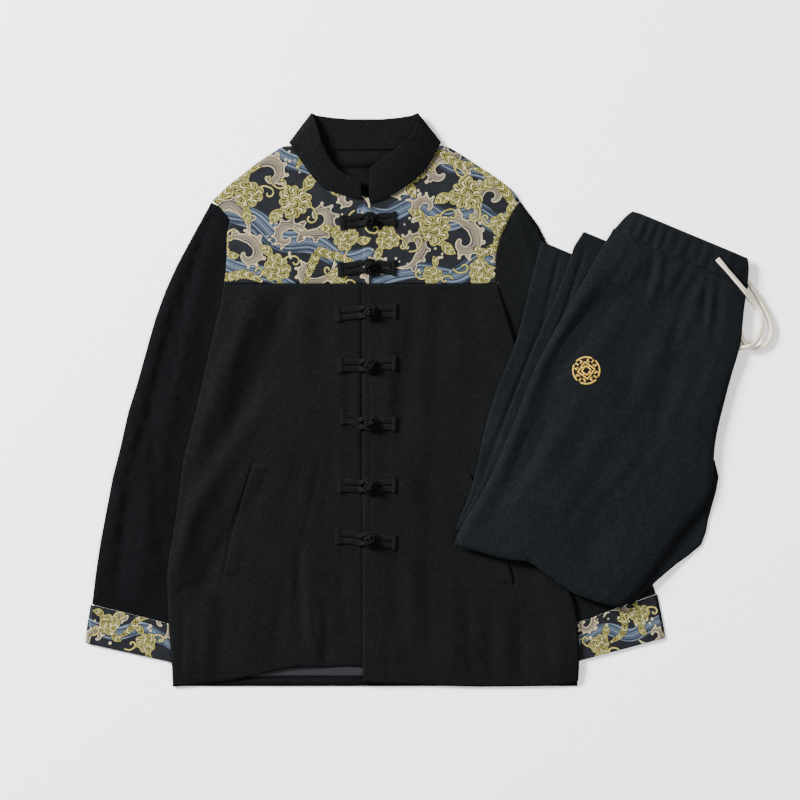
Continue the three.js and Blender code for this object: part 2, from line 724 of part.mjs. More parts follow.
function frogLoop({ loopReach, loopRise }) {
  const joinAngle = 0.72 * Math.PI;
  const shape = tabOutline(loopReach, TAB_ROOT, RING_OUTER * Math.sin(joinAngle));
  shape.absarc(0, 0, RING_OUTER, Math.PI - joinAngle, Math.PI + joinAngle, false);
  const hole = new THREE.Path();
  hole.absarc(0, 0, RING_INNER, 0, 2 * Math.PI, true);
  shape.holes.push(hole, tabSlot(TAB_ROOT, loopReach - BAR_WIDTH - 1));
  const settings = { depth: CORD_THICK, bevelEnabled: false, curveSegments: 5 };
  const geometry = new THREE.ExtrudeGeometry(shape, settings);
  geometry.rotateZ(Math.PI);
  const heightAt = (x) => {
    const onRing = RING_LIFT + (Math.max(x, -RING_OUTER) + RING_OUTER) * RING_TILT;
    return onRing - LOOP_STEP * smoothstep(-x, TAB_ROOT, TAB_ROOT + TAB_FLARE);
  };
  return seat(geometry, loopRise, loopReach, heightAt);
}

/** A closed mesh as a solid that can be joined. */
function asManifold(geometry) {
  const plain = geometry.clone();
  plain.deleteAttribute('normal');
  plain.deleteAttribute('uv');
  const merged = mergeVertices(plain, 1e-4);
  const mesh = new wasm.Mesh({
    numProp: 3,
    vertProperties: new Float32Array(merged.attributes.position.array),
    triVerts: new Uint32Array(merged.index.array),
  });
  return new wasm.Manifold(mesh);
}

function joined(first, second) {
  const { vertProperties, triVerts } = asManifold(first).add(asManifold(second)).getMesh();
  const geometry = new THREE.BufferGeometry();
  geometry.setAttribute('position', new THREE.BufferAttribute(new Float32Array(vertProperties), 3));
  geometry.setIndex(new THREE.BufferAttribute(new Uint32Array(triVerts), 1));
  geometry.computeVertexNormals();
  return geometry;
}

/** The ball knot on its neck, turned about its upright axis. */
function ballKnot() {
  const neckRadius = 4.2;
  const radius = 6.6;
  const height = 5.4;
  const centre = 9.6;
  const foot = 1;
  const profile = [new THREE.Vector2(0, foot), new THREE.Vector2(neckRadius, foot)];
  for (const degrees of [-52, -18, 18, 52]) {
    const angle = THREE.MathUtils.degToRad(degrees);
    profile.push(new THREE.Vector2(radius * Math.cos(angle), centre + height * Math.sin(angle)));
  }
  profile.push(new THREE.Vector2(0, centre + height));
  const geometry = new THREE.LatheGeometry(profile, 8);
  geometry.rotateX(Math.PI / 2);
  return geometry;
}

function frogKnot({ knotReach, knotRise }) {
  const neckHalf = 3.4;
  const shape = tabOutline(knotReach, RING_OUTER + 1, TAB_HALF - 2);
  shape.lineTo(0, neckHalf);
  shape.lineTo(0, -neckHalf);
  shape.holes.push(tabSlot(RING_OUTER + 6, knotReach - BAR_WIDTH - 1));
  const tab = new THREE.ExtrudeGeometry(shape, { depth: TAB_THICK, bevelEnabled: false });
  seat(tab, knotRise, knotReach, () => TAB_LIFT);
  return joined(tab, ballKnot());
}

// Heights of the trousers' layers, in the trousers' own frame

const OVER_SLEEVE = 3.7;
const OVER_FRONT = 4.2;
const WELT_RISE = 1.3;
const TROUSERS_SOONER = 20;
const SETTLED = 0.8;
const LEG_PUFF = 2.4;
const EDGE_ROLL = 2.2;

/** Takes a place of the trousers to the jacket's frame. */
function onJacket(x, y) {
  const offset = new THREE.Vector2(x, y).rotateAround(new THREE.Vector2(), -TILT);
  return offset.add(TROUSERS_AT).sub(JACKET_AT);
}

const SLEEVE_OUTER_EDGE = [...LEFT_SLEEVE, ...LEFT_CUFF.slice(1)]
  .map(({ outerX, outerY }) => ({ up: outerY, x: outerX }))
  .reverse();

/** How far the left pocket's welt lifts what lies on it. */
function weltLift({ x, y }) {
  const middle = (LEFT_WELT[0].up + LEFT_WELT[LEFT_WELT.length - 1].up) / 2;
  const beside = Math.abs(x - (readAt(LEFT_WELT, 'up', y, 'x') + WELT_WIDTH / 2));
  const across = 1 - smoothstep(beside, 18, 50);
  return WELT_RISE * across * (1 - smoothstep(Math.abs(y - middle), 84, 130));
}

/** The surface that the trousers lie on, bridged in long slopes: the table, left sleeve and left front. */
function layingSurface(x, y) {
  const place = onJacket(x, y);
  const outsideSleeve = place.x - readAt(SLEEVE_OUTER_EDGE, 'up', place.y, 'x');
  const sleeveLevel = OVER_SLEEVE * (1 - smoothstep(outsideSleeve, 8, 70));
  const outsideBody = -insideBody(place.x, place.y);
  const bodyLevel = OVER_FRONT + sideLift(Math.max(place.x, 1), place.y, TROUSERS_SOONER) + weltLift(place);
  const overBody = (1 - smoothstep(outsideBody, 10, 60)) * (1 - smoothstep(place.y, 560, 620));
  return lerp(sleeveLevel, Math.max(sleeveLevel, bodyLevel), overBody);
}

/** The top of the folded layers. */
function stackTop(x, y) {
  return STACK_HEIGHT + SETTLED * layingSurface(x, y);
}

/** Soft fullness of the leg panel, with its long creases, easing out to the edges. */
function legPuff(x, y) {
  const left = x - readAt(LEG_PANEL, 'down', -y, 'left');
  const right = readAt(LEG_PANEL, 'down', -y, 'right') - x;
  const edge = smoothstep(Math.min(left, right), 2, 26);
  const roll = EDGE_ROLL * Math.exp(-(((left - 11) / 9) ** 2)) * smoothstep(-y, 40, 120);
  return Math.max(0, LEG_PUFF * edge + roll - troughDepth(LEG_TROUGHS, x, y) * edge);
}

/** Gathers of the waistband, which run out below it. */
function gatherWave(x, y) {
  let height = 0;
  for (const centre of GATHERS) {
    height += Math.exp(-(((x - centre) / GATHER_HALF) ** 2));
  }
  return GATHER_HEIGHT * height * (1 - smoothstep(-y, 22, 90));
}

// The profile of a rolled edge: how far in from the edge, and how much of the drop is left there
const ROLLED_EDGE = [
  { inset: 0, drop: 1 },
  { inset: 0.9, drop: 0.5 },
  { inset: 3, drop: 0.16 },
];

const ROLL_WIDTH = 8;
const LEFT_EDGE_DROP = 2.8;
const FOLD_DROP = 4;
const WAIST_DROP = 3.4;

/** One row of the upper trousers layer, whose side edges roll down, less so where the cord lies below. */
function legRow(down, steps, endDrop, downShift) {
  const left = readAt(LEG_PANEL, 'down', down, 'left');
  const right = readAt(LEG_PANEL, 'down', down, 'right');
  const rightDrop = lerp(1.8, 5.2, smoothstep(down, 125, 165));
  const columns = [
    ...ROLLED_EDGE.map(({ inset, drop }) => ({ x: left + inset, drop: LEFT_EDGE_DROP * drop })),
    ...shares(steps).map((share) => ({ x: lerp(left + ROLL_WIDTH, right - ROLL_WIDTH, share), drop: 0 })),
    ...ROLLED_EDGE.map(({ inset, drop }) => ({ x: right - inset, drop: rightDrop * drop })).reverse(),
  ];
  return columns.map(({ x, drop }) => {
    const y = -(down + downShift(x));
    const height = stackTop(x, y) + SEAM + TROUSER_WALL / 2 + legPuff(x, y) + gatherWave(x, y);
    return new THREE.Vector3(x, y, height - Math.max(drop, endDrop));
  });
}

function foldEdgeShift(x, down) {
  return (readAt(LEG_FOLD_EDGE, 'across', x, 'down') - LEG_FOLD) * smoothstep(down, 430, LEG_FOLD);
}

function trousersFront() {
  const start = WAISTBAND_DEPTH + SEAM;
  const end = LEG_FOLD - ROLL_WIDTH;
  const rows = shares(22).map((share) => ({ down: lerp(start, end, share ** 1.1), drop: 0 }));
  const rolled = ROLLED_EDGE.map(({ inset, drop }) => ({ down: LEG_FOLD - inset, drop: FOLD_DROP * drop }));
  const net = [...rows, ...rolled.reverse()].map(({ down, drop }) => (
    legRow(down, 12, drop, (x) => foldEdgeShift(x, down))
  ));
  return band(net, TROUSER_WALL);
}

function trousersWaistband() {
  const top = -6;
  const rolled = ROLLED_EDGE.map(({ inset, drop }) => ({ down: top + inset, drop: WAIST_DROP * drop }));
  const rows = [...rolled, { down: 4, drop: 0 }, { down: 17, drop: 0 }, { down: WAISTBAND_DEPTH, drop: 0 }];
  const net = rows.map(({ down, drop }) => legRow(down, 34, drop, () => 0));
  return band(net, TROUSER_WALL);
}

const UNDER_EDGE = 6;
const STACK_INSET = 11;
const CORD_TUCK = 36;
const LAYER_OVERLAP = 10;
const LEG_EDGE_WALL = 2.6;
const SECOND_LAYER_LIFT = 3.4;
const UNDERSIDE_CLEARANCE = 1.15;

// The profile of a folded leg's edge: how far in, and how high its lower and upper faces are there
const LEG_EDGE = [
  { inset: 0, low: 0.42, high: 0.58 },
  { inset: 1.2, low: 0.05, high: 0.95 },
  { inset: 4, low: 0, high: 1 },
];

/** A folded leg edge that lies level on what is below it, thinner at its rounded outer edge. */
function legEdge(rows, reachAt, outward, lift) {
  const sections = rows.map((down) => {
    const { outer, inner } = reachAt(down);
    const width = Math.abs(outer - inner);
    const flat = [0.5, 1].map((share) => ({ inset: Math.max(5, width * share), low: 0, high: 1 }));
    const places = [...LEG_EDGE, ...flat];
    const point = (inset, height) => {
      const x = outer - outward * inset;
      return new THREE.Vector3(x, -down, layingSurface(x, -down) + lift + height * LEG_EDGE_WALL);
    };
    return [
      ...places.map(({ inset, high }) => point(inset, high)),
      ...places.map(({ inset, low }) => point(inset, low)).reverse(),
    ];
  });
  return wallThrough(sections);
}


function lowerLeg(table, lift, innerAt) {
  const first = table[0].down;
  const last = table[table.length - 1].down;
  const rows = shares(18).map((share) => lerp(first, last, share));
  const reachAt = (down) => ({
    outer: readAt(table, 'down', down, 'left'),
    inner: Math.max(innerAt(down), readAt(table, 'down', down, 'left') + 8),
  });
  return legEdge(rows, reachAt, -1, lift);
}

const underPanel = (down) => readAt(LEG_PANEL, 'down', down, 'left') + UNDER_EDGE;
const underUpperLayer = (down) => readAt(RIGHT_LOWER_LEG, 'down', down, 'left') + LAYER_OVERLAP;

function leftLegEdge() {
  const rows = shares(12).map((share) => lerp(LEFT_LEG[0].down, LEFT_LEG[LEFT_LEG.length - 1].down, share));
  const reachAt = (down) => ({
    outer: readAt(LEFT_LEG, 'down', down, 'right'),
    inner: readAt(LEG_PANEL, 'down', down, 'right') - UNDER_EDGE,
  });
  return legEdge(rows, reachAt, 1, 0);
}

// Rows of the folded layers, and how far each end row is drawn in
const STACK_ROWS = [
  { down: 6, inset: 4 }, { down: 10, inset: 0 }, { down: 50, inset: 0 }, { down: 90, inset: 0 },
  { down: 126, inset: 0 }, { down: 150, inset: 0 }, { down: 190, inset: 0 }, { down: 230, inset: 0 },
  { down: 270, inset: 0 }, { down: 310, inset: 0 }, { down: 350, inset: 0 }, { down: 390, inset: 0 },
  { down: 425, inset: 0 }, { down: 455, inset: 0 }, { down: 476, inset: 1 }, { down: 484, inset: 5 },
];

// The profile of their sides: three rounded layers, by share of the height
const STACK_SIDES = [
  { inset: 3, height: 0 },
  { inset: 0, height: 0.12 },
  { inset: 1, height: 0.33 },
  { inset: 0, height: 0.45 },
  { inset: 1, height: 0.66 },
  { inset: 0, height: 0.8 },
  { inset: 3, height: 1 },
];

/** One section of the folded layers, between their left and right sides. */
function stackSection({ down, inset }) {
  const left = readAt(LEG_PANEL, 'down', down, 'left') + STACK_INSET + inset;
  const tuck = lerp(CORD_TUCK, STACK_INSET, smoothstep(down, 128, 150));
  const right = readAt(LEG_PANEL, 'down', down, 'right') - tuck - inset;
  const point = (x, height) => {
    const y = -(down + foldEdgeShift(x, down));
    const under = UNDERSIDE_CLEARANCE * layingSurface(x, y);
    return new THREE.Vector3(x, y, lerp(under, stackTop(x, y), height));
  };
  const across = shares(12).slice(1, -1);
  const inner = STACK_SIDES[0].inset;
  const level = (height) => across.map((share) => point(lerp(left + inner, right - inner, share), height));
  const rightSide = STACK_SIDES.map((side) => point(right - side.inset, side.height));
  const leftSide = STACK_SIDES.map((side) => point(left + side.inset, side.height));
  return [...leftSide, ...level(1), ...rightSide.reverse(), ...level(0).reverse()];
}

/** The hidden layers as one solid, grooved round its sides like a folded stack. */
function foldedLayers() {
  return cappedStack(STACK_ROWS.map(stackSection));
}

function middleOf(loop) {
  const sum = new THREE.Vector3();
  loop.forEach((point) => sum.add(point));
  return sum.divideScalar(loop.length);
}

/** Closes the two flat ends of a run of plump sections with a fan. */
function cappedStack(sections) {
  const count = sections[0].length;
  const points = sections.flat();
  const rows = sections.map((unused, row) => Array.from({ length: count }, (none, i) => row * count + i));
  const triangles = [];
  for (let row = 0; row + 1 < rows.length; row += 1) {
    triangles.push(...strip(rows[row], rows[row + 1]));
  }
  const first = rows[0];
  const last = rows[rows.length - 1];
  const firstCentre = points.push(middleOf(sections[0])) - 1;
  const lastCentre = points.push(middleOf(sections[sections.length - 1])) - 1;
  for (let i = 0; i < count; i += 1) {
    const next = (i + 1) % count;
    triangles.push([firstCentre, first[next], first[i]], [lastCentre, last[i], last[next]]);
  }
  return solid(points, triangles);
}

function strand(route) {
  const section = new THREE.Shape();
  section.absarc(0, 0, CORD_DIAMETER / 2, 0, 2 * Math.PI, false);
  const path = new THREE.CatmullRomCurve3(route.map((place) => new THREE.Vector3(...place)));
  const steps = Math.round(path.getLength() / (2 * CORD_DIAMETER));
  const settings = { steps, curveSegments: 4, extrudePath: path, bevelEnabled: false };
  return new THREE.ExtrudeGeometry(section, settings);
}

// The scene graph

function addTo(group, name, geometry, look) {
  const mesh = new THREE.Mesh(geometry, new THREE.MeshStandardMaterial(MATERIALS[look]));
  mesh.name = name;
  group.add(mesh);
  return mesh;
}

function makeJacket() {
  const jacket = new THREE.Group();
  jacket.position.set(JACKET_AT.x, JACKET_AT.y, 0);
  addTo(jacket, 'jacket_back', jacketBack(), 'jacket');
  addTo(jacket, 'jacket_back_lining', backLining(), 'lining');
  for (const side of ['right', 'left']) {
    addTo(jacket, `jacket_front_${side}`, jacketFront(side), 'jacket');
    addTo(jacket, `jacket_yoke_${side}`, jacketYoke(side), 'print');
    addTo(jacket, `jacket_sleeve_${side}`, jacketSleeve(side), 'jacket');
    addTo(jacket, `jacket_cuff_${side}`, jacketCuff(side), 'print');
  }
  addTo(jacket, 'jacket_collar', jacketCollar(), 'jacket');
  addTo(jacket, 'pocket_welt_right', pocketWelt(RIGHT_WELT, 1), 'jacket');
  addTo(jacket, 'pocket_welt_left', pocketWelt(LEFT_WELT, -1), 'jacket');
  FROGS.forEach((frog, index) => {
    const base = leftOver(KNOT_X, frog.up);
    const loop = addTo(jacket, `frog_loop_${index + 1}`, frogLoop(frog), 'jacket');
    const knot = addTo(jacket, `frog_knot_${index + 1}`, frogKnot(frog), 'jacket');
    loop.position.set(KNOT_X, frog.up, base);
    knot.position.set(KNOT_X, frog.up, base);
  });
  return jacket;
}

function makeTrousers() {
  const trousers = new THREE.Group();
  trousers.position.set(TROUSERS_AT.x, TROUSERS_AT.y, 0);
  trousers.rotation.z = -TILT;
  const upperLeg = lowerLeg(RIGHT_LOWER_LEG, SECOND_LAYER_LIFT, underPanel);
  addTo(trousers, 'trousers_folded_layers', foldedLayers(), 'trousers');
  addTo(trousers, 'trousers_left_lower_leg', lowerLeg(LEFT_LOWER_LEG, 0, underUpperLayer), 'trousers');
  addTo(trousers, 'trousers_right_lower_leg', upperLeg, 'trousers');
  addTo(trousers, 'trousers_left_leg', leftLegEdge(), 'trousers');
  addTo(trousers, 'trousers_right_front', trousersFront(), 'trousers');
  addTo(trousers, 'trousers_waistband', trousersWaistband(), 'trousers');
  addTo(trousers, 'drawstring_upper', strand(UPPER_STRAND), 'cord');
  addTo(trousers, 'drawstring_lower', strand(LOWER_STRAND), 'cord');
  return trousers;
}

const hanfuSet = new THREE.Group();
hanfuSet.add(makeJacket(), makeTrousers());

export default hanfuSet;
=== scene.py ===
# %% [markdown]
# A short stand-collar jacket with frog closures and a pair of drawstring trousers lie flat on a table.
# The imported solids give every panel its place. Each cloth piece here starts from the outer face of its
# solid, gets finer, and is then creased, turned under and stitched as a tailor would leave it.
# "Right" and "left" are the wearer's, so the right sleeve is on the viewer's left.

# %% Load the frame
import math
import random

import bmesh
import bpy
import numpy as np
from mathutils import Matrix, Vector, kdtree, noise
from mathutils.bvhtree import BVHTree


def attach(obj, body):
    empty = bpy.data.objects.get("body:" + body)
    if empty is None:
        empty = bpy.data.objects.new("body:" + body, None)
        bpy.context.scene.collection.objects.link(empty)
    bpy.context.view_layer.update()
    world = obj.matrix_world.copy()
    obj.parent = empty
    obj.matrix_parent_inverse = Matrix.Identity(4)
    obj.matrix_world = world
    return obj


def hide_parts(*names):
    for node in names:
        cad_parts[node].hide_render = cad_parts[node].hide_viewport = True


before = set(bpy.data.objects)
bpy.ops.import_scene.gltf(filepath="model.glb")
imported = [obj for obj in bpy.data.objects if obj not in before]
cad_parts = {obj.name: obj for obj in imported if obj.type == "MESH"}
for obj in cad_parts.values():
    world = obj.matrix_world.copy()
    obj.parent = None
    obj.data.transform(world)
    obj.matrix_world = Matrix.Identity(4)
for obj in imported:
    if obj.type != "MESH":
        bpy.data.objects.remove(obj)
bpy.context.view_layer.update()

# %% [markdown]
# The picture was taken square-on from above. A long lens far away gives that flat look and still
# has the perspective that other views of the same camera need.

# %% Camera
PICTURE_WIDTH = 1.08
PICTURE_MIDDLE = (-0.0231, -0.0002)
LENS_MM = 200
SENSOR_MM = 36


def make_camera():
    """A camera straight above the middle of the picture, as high as its lens asks for."""
    data = bpy.data.cameras.new("overhead")
    data.lens = LENS_MM
    data.sensor_width = SENSOR_MM
    camera = bpy.data.objects.new("overhead", data)
    height = PICTURE_WIDTH * LENS_MM / SENSOR_MM
    camera.location = (PICTURE_MIDDLE[0], PICTURE_MIDDLE[1], height)
    data.clip_end = 3 * height
    bpy.context.scene.collection.objects.link(camera)
    bpy.context.scene.camera = camera
    print("camera height", round(height, 2), "m")


make_camera()

# %% [markdown]
# The jacket and the trousers each have a frame of their own. The jacket's starts at the hem under the
# centre front, the trousers' at the middle of the waist, with the leg pointing down. Tables of folds
# and stitches are written in these frames, in millimetres, as a tailor would measure them.

# %% Frames of the two garments
MM = 0.001
JACKET_AT = Vector((-0.0717, -0.3863, 0))
TROUSERS_AT = Vector((0.3657, 0.2172, 0))
TILT = math.radians(22.6)

JACKET = Matrix.Translation(JACKET_AT) @ Matrix.Scale(MM, 4)
TROUSERS = Matrix.Translation(TROUSERS_AT) @ Matrix.Rotation(-TILT, 4, "Z") @ Matrix.Scale(MM, 4)
TO_JACKET = JACKET.inverted()
TO_TROUSERS = TROUSERS.inverted()
print("trousers lie turned by", round(math.degrees(TILT), 1), "degrees")

# %% [markdown]
# Cords, bias strips and embroidered strokes are all long and thin. Each one is swept here as a ring
# that is extruded from place to place, because a swept ring can flatten, twist and swell on its way
# as soft cord does. A round curve through a few given points gives the places.

# %% Sweep a ring along a route
RING_DEPTH = 0.01
CURVE_STEPS = 8


def ring_matrix(places, index, width, height, turn, up):
    """The matrix that takes a unit ring to one place of a route, standing across it.

    The ring is flat, so its depth only keeps the matrix one that can be turned back.
    """
    before = places[max(index - 1, 0)]
    after = places[min(index + 1, len(places) - 1)]
    ahead = (after - before).normalized()
    side = ahead.cross(up).normalized()
    rise = side.cross(ahead)
    turned_side = side * math.cos(turn) + rise * math.sin(turn)
    turned_rise = rise * math.cos(turn) - side * math.sin(turn)
    axes = Matrix((turned_side * width, turned_rise * height, ahead * RING_DEPTH)).transposed()
    return Matrix.Translation(places[index]) @ axes.to_4x4()


def sweep(bm, places, sizes, turns=None, ups=None, closed=False, sides=12):
    """Extrudes a ring along places; sizes are (width, height) pairs, one for each place."""
    along = bm.verts.layers.float.get("along") or bm.verts.layers.float.new("along")
    around = bm.verts.layers.float.get("around") or bm.verts.layers.float.new("around")
    turns = turns or [0] * len(places)
    ups = ups or [Vector((0, 0, 1))] * len(places)
    ring = bmesh.ops.create_circle(bm, segments=sides, radius=0.5)["verts"]
    for number, vert in enumerate(ring):
        vert[around] = number / sides
    last = ring_matrix(places, 0, *sizes[0], turns[0], ups[0])
    bmesh.ops.transform(bm, matrix=last, verts=ring)
    edges = list({edge for vert in ring for edge in vert.link_edges})
    first_edges = edges
    length = 0
    for index in range(1, len(places)):
        length += (places[index] - places[index - 1]).length
        made = bmesh.ops.extrude_edge_only(bm, edges=edges)["geom"]
        ring = [item for item in made if isinstance(item, bmesh.types.BMVert)]
        edges = [item for item in made if isinstance(item, bmesh.types.BMEdge)]
        now = ring_matrix(places, index, *sizes[index], turns[index], ups[index])
        bmesh.ops.transform(bm, matrix=now @ last.inverted(), verts=ring)
        for vert in ring:
            vert[along] = length / MM
        last = now
    if closed:
        bmesh.ops.bridge_loops(bm, edges=first_edges + edges)
    else:
        for ends in (first_edges, edges):
            bmesh.ops.edgeloop_fill(bm, edges=ends)


def smooth_route(points, matrix, spacing):
    """A round curve through given points of a frame, as evenly spaced places."""
    places = [matrix @ Vector(point) for point in points]
    fine = []
    for index in range(len(places) - 1):
        p0 = places[max(index - 1, 0)]
        p1, p2 = places[index], places[index + 1]
        p3 = places[min(index + 2, len(places) - 1)]
        for step in range(CURVE_STEPS):
            t = step / CURVE_STEPS
            fine.append(0.5 * (2 * p1 + (p2 - p0) * t + (2 * p0 - 5 * p1 + 4 * p2 - p3) * t * t
                               + (3 * p1 - p0 - 3 * p2 + p3) * t ** 3))
    fine.append(places[-1])
    lengths = np.cumsum([0] + [(b - a).length for a, b in zip(fine, fine[1:])])
    count = max(2, round(lengths[-1] / spacing) + 1)
    wanted = np.linspace(0, lengths[-1], count)
    columns = [np.interp(wanted, lengths, [place[axis] for place in fine]) for axis in range(3)]
    return [Vector(place) for place in zip(*columns)]


def as_object(bm, name):
    """Ends a bmesh as a finished, smoothly shaded object at the origin."""
    mesh = bpy.data.meshes.new(name)
    bm.to_mesh(mesh)
    bm.free()
    mesh.shade_smooth()
    piece = bpy.data.objects.new(name, mesh)
    bpy.context.scene.collection.objects.link(piece)
    return piece


# %% [markdown]
# The drawstring is a soft flat cotton cord. It leaves the casing at the eyelet, runs over the side of
# the waist, drops to the table, turns in a loop and slips back under the trousers. Its two strands
# are routed point by point, because a loose cord lies as it fell.

# %% Drawstring
CORD_WIDTH = 6.6
CORD_HEIGHT = 4.2
CORD_SPACING = 0.0015
CORD_TWIST = 0.6
CORD_SWELL = 0.06
SWELLS_PACE = 40
UPPER_STRAND = [
    (46, -10.5, 17.6), (54, -14.5, 18.1), (64, -19.5, 17.9), (76, -25.5, 17.3), (87, -31, 16.4),
    (96, -35.5, 14.9), (104, -39, 11.7), (111, -42.5, 7.6), (118, -46.5, 4.6), (125, -51, 3.5),
    (131, -57.5, 3.4), (135.5, -66, 3.4), (138, -75, 3.4), (139, -84, 3.8), (138.5, -91, 5.4),
    (136.5, -97, 8.2), (132, -102.5, 10.2), (126, -106.5, 7.9), (119.5, -110.5, 4.7), (111, -115, 3.5),
    (101, -119, 3.4),
]
LOWER_STRAND = [
    (74, -10, 3.4), (85, -16, 3.4), (96, -22, 3.4), (108, -29, 3.4), (120, -37.5, 3.4),
    (132, -46.5, 3.4), (142.5, -56, 3.4), (150, -66, 3.4), (153.5, -77, 3.4), (152.5, -88, 3.4),
    (146.5, -97, 3.4), (138, -102, 3.4), (129.5, -101.5, 3.4), (121, -97, 3.4), (114, -89.5, 3.4),
    (107, -81, 3.4), (99, -73, 3.4),
]


def make_strand(name, cad_node, points, twists):
    """One strand of the flat cord, which twists a little on its way and swells where it is soft."""
    places = smooth_route(points, TROUSERS, CORD_SPACING)
    shares = [index / (len(places) - 1) for index in range(len(places))]
    turns = [CORD_TWIST * math.sin(2 * math.pi * twists * share) for share in shares]
    swells = [1 + CORD_SWELL * math.sin(SWELLS_PACE * share) for share in shares]
    sizes = [(CORD_WIDTH * MM * swell, CORD_HEIGHT * MM * (2 - swell)) for swell in swells]
    bm = bmesh.new()
    sweep(bm, places, sizes, turns, sides=16)
    bmesh.ops.recalc_face_normals(bm, faces=bm.faces)
    strand = as_object(bm, name)
    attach(strand, "root")
    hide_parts(cad_node)
    return strand


strands = [
    make_strand("cord_upper", "drawstring_upper", UPPER_STRAND, 1.5),
    make_strand("cord_lower", "drawstring_lower", LOWER_STRAND, 1.0),
]

# %% [markdown]
# A shader holds the colours as linear light, while the photo's colours are read off as hex codes, so
# they're turned first. Each cloth's colour and relief could be painted as a picture, but a picture of a
# whole jacket would be large and would blur up close. Nodes stay sharp, and their sizes are millimetres.
# One small function adds a node with its settings and links, and another lays colours over a ground, each
# by its own share.

# %% Colours and nodes
def linear(code):
    """An sRGB hex colour as a linear one with full alpha."""
    values = [int(code[start:start + 2], 16) / 255 for start in (1, 3, 5)]
    return [v / 12.92 if v <= 0.04045 else ((v + 0.055) / 1.055) ** 2.4 for v in values] + [1]


def new_material(name, roughness, sheen, specular):
    """A material and its shader; the sheen is the light that fibre ends catch at a low angle."""
    material = bpy.data.materials.new(name)
    material.use_nodes = True
    shader = material.node_tree.nodes["Principled BSDF"]
    shader.inputs["Roughness"].default_value = roughness
    shader.inputs["Sheen Weight"].default_value = sheen
    shader.inputs["Sheen Roughness"].default_value = 0.5
    shader.inputs["Specular IOR Level"].default_value = specular
    return material, shader


MIX_SHARE, MIX_BELOW, MIX_ABOVE = 0, 6, 7
MIX_COLOUR = 2


def node(material, kind, inputs, output=0, **settings):
    """Adds one node with its settings and links and gives one of its outputs."""
    made = material.node_tree.nodes.new(kind)
    for name, value in settings.items():
        setattr(made, name, value)
    for name, value in inputs.items():
        if isinstance(value, bpy.types.NodeSocket):
            material.node_tree.links.new(value, made.inputs[name])
        else:
            made.inputs[name].default_value = value
    return made.outputs[output]


def layered(material, ground, layers):
    """Lays colours over a ground, each by its own share, as a printer lays inks one by one."""
    colour = linear(ground) if isinstance(ground, str) else ground
    for share, over in layers:
        above = linear(over) if isinstance(over, str) else over
        colour = node(material, "ShaderNodeMix", {
            MIX_SHARE: share, MIX_BELOW: colour, MIX_ABOVE: above}, MIX_COLOUR, data_type="RGBA")
    return colour


def finish_material(material, shader, colour, height, distance_mm):
    """Links a colour and a bump height to the shader."""
    normal = node(material, "ShaderNodeBump", {
        "Height": height, "Distance": distance_mm * MM, "Strength": 1.0})
    material.node_tree.links.new(colour, shader.inputs["Base Color"])
    material.node_tree.links.new(normal, shader.inputs["Normal"])
    return material


def cloth_plane(material, turn=0.0):
    """Object coordinates in millimetres, turned to the grain of the cloth."""
    place = node(material, "ShaderNodeTexCoord", {}, "Object")
    return node(material, "ShaderNodeMapping", {
        "Vector": place, "Rotation": (0, 0, turn), "Scale": (1 / MM, 1 / MM, 1 / MM)})


def stretched_noise(material, plane, sizes, detail=3.0):
    """Noise in flecks of the given sizes in millimetres along X, Y and Z."""
    scaled = node(material, "ShaderNodeMapping", {
        "Vector": plane, "Scale": tuple(1 / size for size in sizes)})
    return node(material, "ShaderNodeTexNoise", {
        "Vector": scaled, "Scale": 1.0, "Detail": detail, "Roughness": 0.6}, "Fac")


# %% [markdown]
# Slubby linen and cotton: plain weave of uneven yarn, piece-dyed black. Thick places in the yarn
# catch the light as short flecks along the warp and the weft, and the dye is a little worn on them.
# Real yarn is 0.4 mm apart, too fine for this picture, so the weave is drawn at 1.1 mm. The sleeves
# are cut from the same cloth with its grain along the arm, and the right one is given darker colours,
# which are painted shade. The frogs are bias strips, so their grain runs at 45 degrees.

# %% Linen
WEAVE_MM = 1.1
SLUB_LONG_MM = 8
SLUB_WIDE_MM = 1.1
THROUGH_MM = 40
SLUB_FROM, SLUB_TO = 0.5, 0.75
SLUB_LIGHT = 0.42
WEAR_LIGHT = 0.2
WEAVE_LIGHT = 0.2
YARN_RELIEF = 0.12


def slub_flecks(material, plane, sizes):
    """Where a yarn is thick, as short flecks of the given sizes."""
    return node(material, "ShaderNodeMapRange", {
        "Value": stretched_noise(material, plane, sizes), "From Min": SLUB_FROM, "From Max": SLUB_TO})


